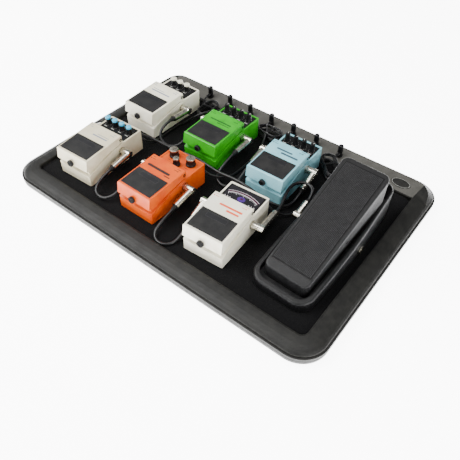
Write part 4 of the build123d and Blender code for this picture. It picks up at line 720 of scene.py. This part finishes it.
s.prism(ellipse(5.0, 4.0, 24, 0.5, 101.5), -0.1, 0.12, mx, 3)
for x in (-26, -21.5, -17, 17, 21.5, 26):
    s.prism(ellipse(1.7, 1.7, 16, x, 95.8), -0.1, 0.10, mx, 1)
bar(s, -27, -14, 91.8, 0.7, mx, 1)
bar(s, 14, 27, 91.8, 0.7, mx, 1)
s.build("tuner_scale", [MAT["arc_violet"], MAT["arc_white"], MAT["display"], MAT["arc_plum"]], BOARD)

# ------------------------------------------------------------------ plugs: black boots on silver bodies
ENDS = {}
for name, pts in PATCH.items():
    for a, b in ((0, 1), (-1, -2)):
        ENDS[(name, a)] = (Vector(pts[a]), (Vector(pts[b]) - Vector(pts[a])).normalized())
dress("patch_plugs", "nickel", "boot")


def in_boot(c, n):
    for p, d in ENDS.values():
        q = c - p
        h = q.dot(d)
        if -0.0084 < h < 0.002 and (q - d * h).length < 0.006:
            return True
    return False


choose("patch_plugs", in_boot)

# ------------------------------------------------------------------ bare oval badge on the rear rim
dg = bpy.context.evaluated_depsgraph_get()
shell_tree = BVHTree.FromObject(NODES["case_shell"], dg)


def drop(x, y):
    hit = shell_tree.ray_cast(Vector((x, y, 0.2)), Vector((0, 0, -1)))
    return hit[0], hit[1]


at, up = drop(0.238, 0.1735)
ez = up.normalized()
ex = Vector((1, 0, 0))
ex = (ex - ez * ex.dot(ez)).normalized()
ey = ez.cross(ex)
mx = Matrix.Translation(at) @ Matrix((ex, ey, ez)).transposed().to_4x4() @ Matrix.Scale(0.001, 4)
s = Shape()
s.prism(ellipse(34, 19, 64), -0.4, 0.55, mx, 0, chamfer=0.3)
rings = [ellipse(32.0, 17.2, 64), ellipse(30.4, 15.6, 64)]
k = 64
verts = [(p[0], p[1], z) for z in (0.5, 0.8) for ring in rings for p in ring]
faces = []
for i in range(k):
    j = (i + 1) % k
    faces += [(2 * k + i, 2 * k + j, 3 * k + j, 3 * k + i), (i, j, 2 * k + j, 2 * k + i), (3 * k + i, 3 * k + j, k + j, k + i)]
s.add(verts, faces, 1, mx)
s.build("case_badge", [MAT["case"], MAT["badge"]], BOARD)

# ------------------------------------------------------------------ cable ties round the hanks
for name, (hx, hy, ang, w, z0, h) in {"a": (-0.1465, 0.1308, 90, 0.0288, 0.0173, 0.0196), "b": (-0.0110, 0.1466, 0, 0.0284, 0.0178, 0.0186),
                                      "c": (0.1250, 0.1318, -43, 0.0284, 0.0176, 0.0192)}.items():
    s = Shape()
    mx = Matrix.Translation((hx, hy, z0)) @ Matrix.Rotation(math.radians(ang), 4, "Z")
    n, wide = 28, 0.0017
    loop = []
    for i in range(n):
        t = 2 * math.pi * i / n
        e = 0.55
        loop.append((w / 2 * math.copysign(abs(math.cos(t)) ** e, math.cos(t)), h / 2 + h / 2 * math.copysign(abs(math.sin(t)) ** e, math.sin(t))))
    verts, faces = [], []
    for x, grow in ((-wide, 1.0), (wide, 1.0), (wide, 0.93), (-wide, 0.93)):
        verts += [(x, p[0] * grow, h / 2 + (p[1] - h / 2) * grow) for p in loop]
    for r in range(4):
        q = (r + 1) % 4
        for i in range(n):
            j = (i + 1) % n
            faces.append((r * n + i, r * n + j, q * n + j, q * n + i))
    s.add(verts, faces, 0, mx)
    s.build("hank_tie_" + name, [MAT["black"]], BOARD)

# ------------------------------------------------------------------ floor, light, sky
fl = bpy.data.meshes.new("floor")
fl.from_pydata([(-6, -6, 0), (6, -6, 0), (6, 6, 0), (-6, 6, 0)], [], [(0, 1, 2, 3)])
floor = bpy.data.objects.new("floor", fl)
bpy.context.scene.collection.objects.link(floor)
g = Graph("floor_white")
g.link(g.ramp(g.noise(3, 2), [(0.2, srgb(247, 247, 248)), (0.8, srgb(252, 252, 253))]), g.b.inputs["Base Color"])
g.b.inputs["Roughness"].default_value = 0.8
g.b.inputs["Emission Color"].default_value = (1, 1, 1, 1)
g.b.inputs["Emission Strength"].default_value = 8.0
floor.data.materials.append(g.m)

world = bpy.data.worlds.new("sky")
bpy.context.scene.world = world
world.use_nodes = True
world.node_tree.nodes["Background"].inputs["Color"].default_value = (1.0, 1.0, 1.0, 1.0)
world.node_tree.nodes["Background"].inputs["Strength"].default_value = 0.42


def area(name, where, towards, size, power, colour=(1, 1, 1)):
    ld = bpy.data.lights.new(name, "AREA")
    ld.shape, ld.size, ld.size_y = "RECTANGLE", size[0], size[1]
    ld.energy, ld.color = power, colour
    lo = bpy.data.objects.new(name, ld)
    bpy.context.scene.collection.objects.link(lo)
    lo.location = where
    lo.rotation_mode = "QUATERNION"
    lo.rotation_quaternion = (Vector(towards) - Vector(where)).to_track_quat("-Z", "Y")
    return lo


area("key", (-1.0, -0.55, 1.6), (0.0, 0.0, 0.02), (1.2, 1.2), 64)
area("front", (-0.5, -1.7, 0.8), (0.0, 0.0, 0.02), (1.2, 0.7), 20)
area("top", (0.25, 0.1, 2.1), (0.0, 0.0, 0.02), (1.0, 1.0), 22)
area("right", (1.7, -0.6, 0.8), (0.0, 0.0, 0.02), (0.9, 0.9), 30)
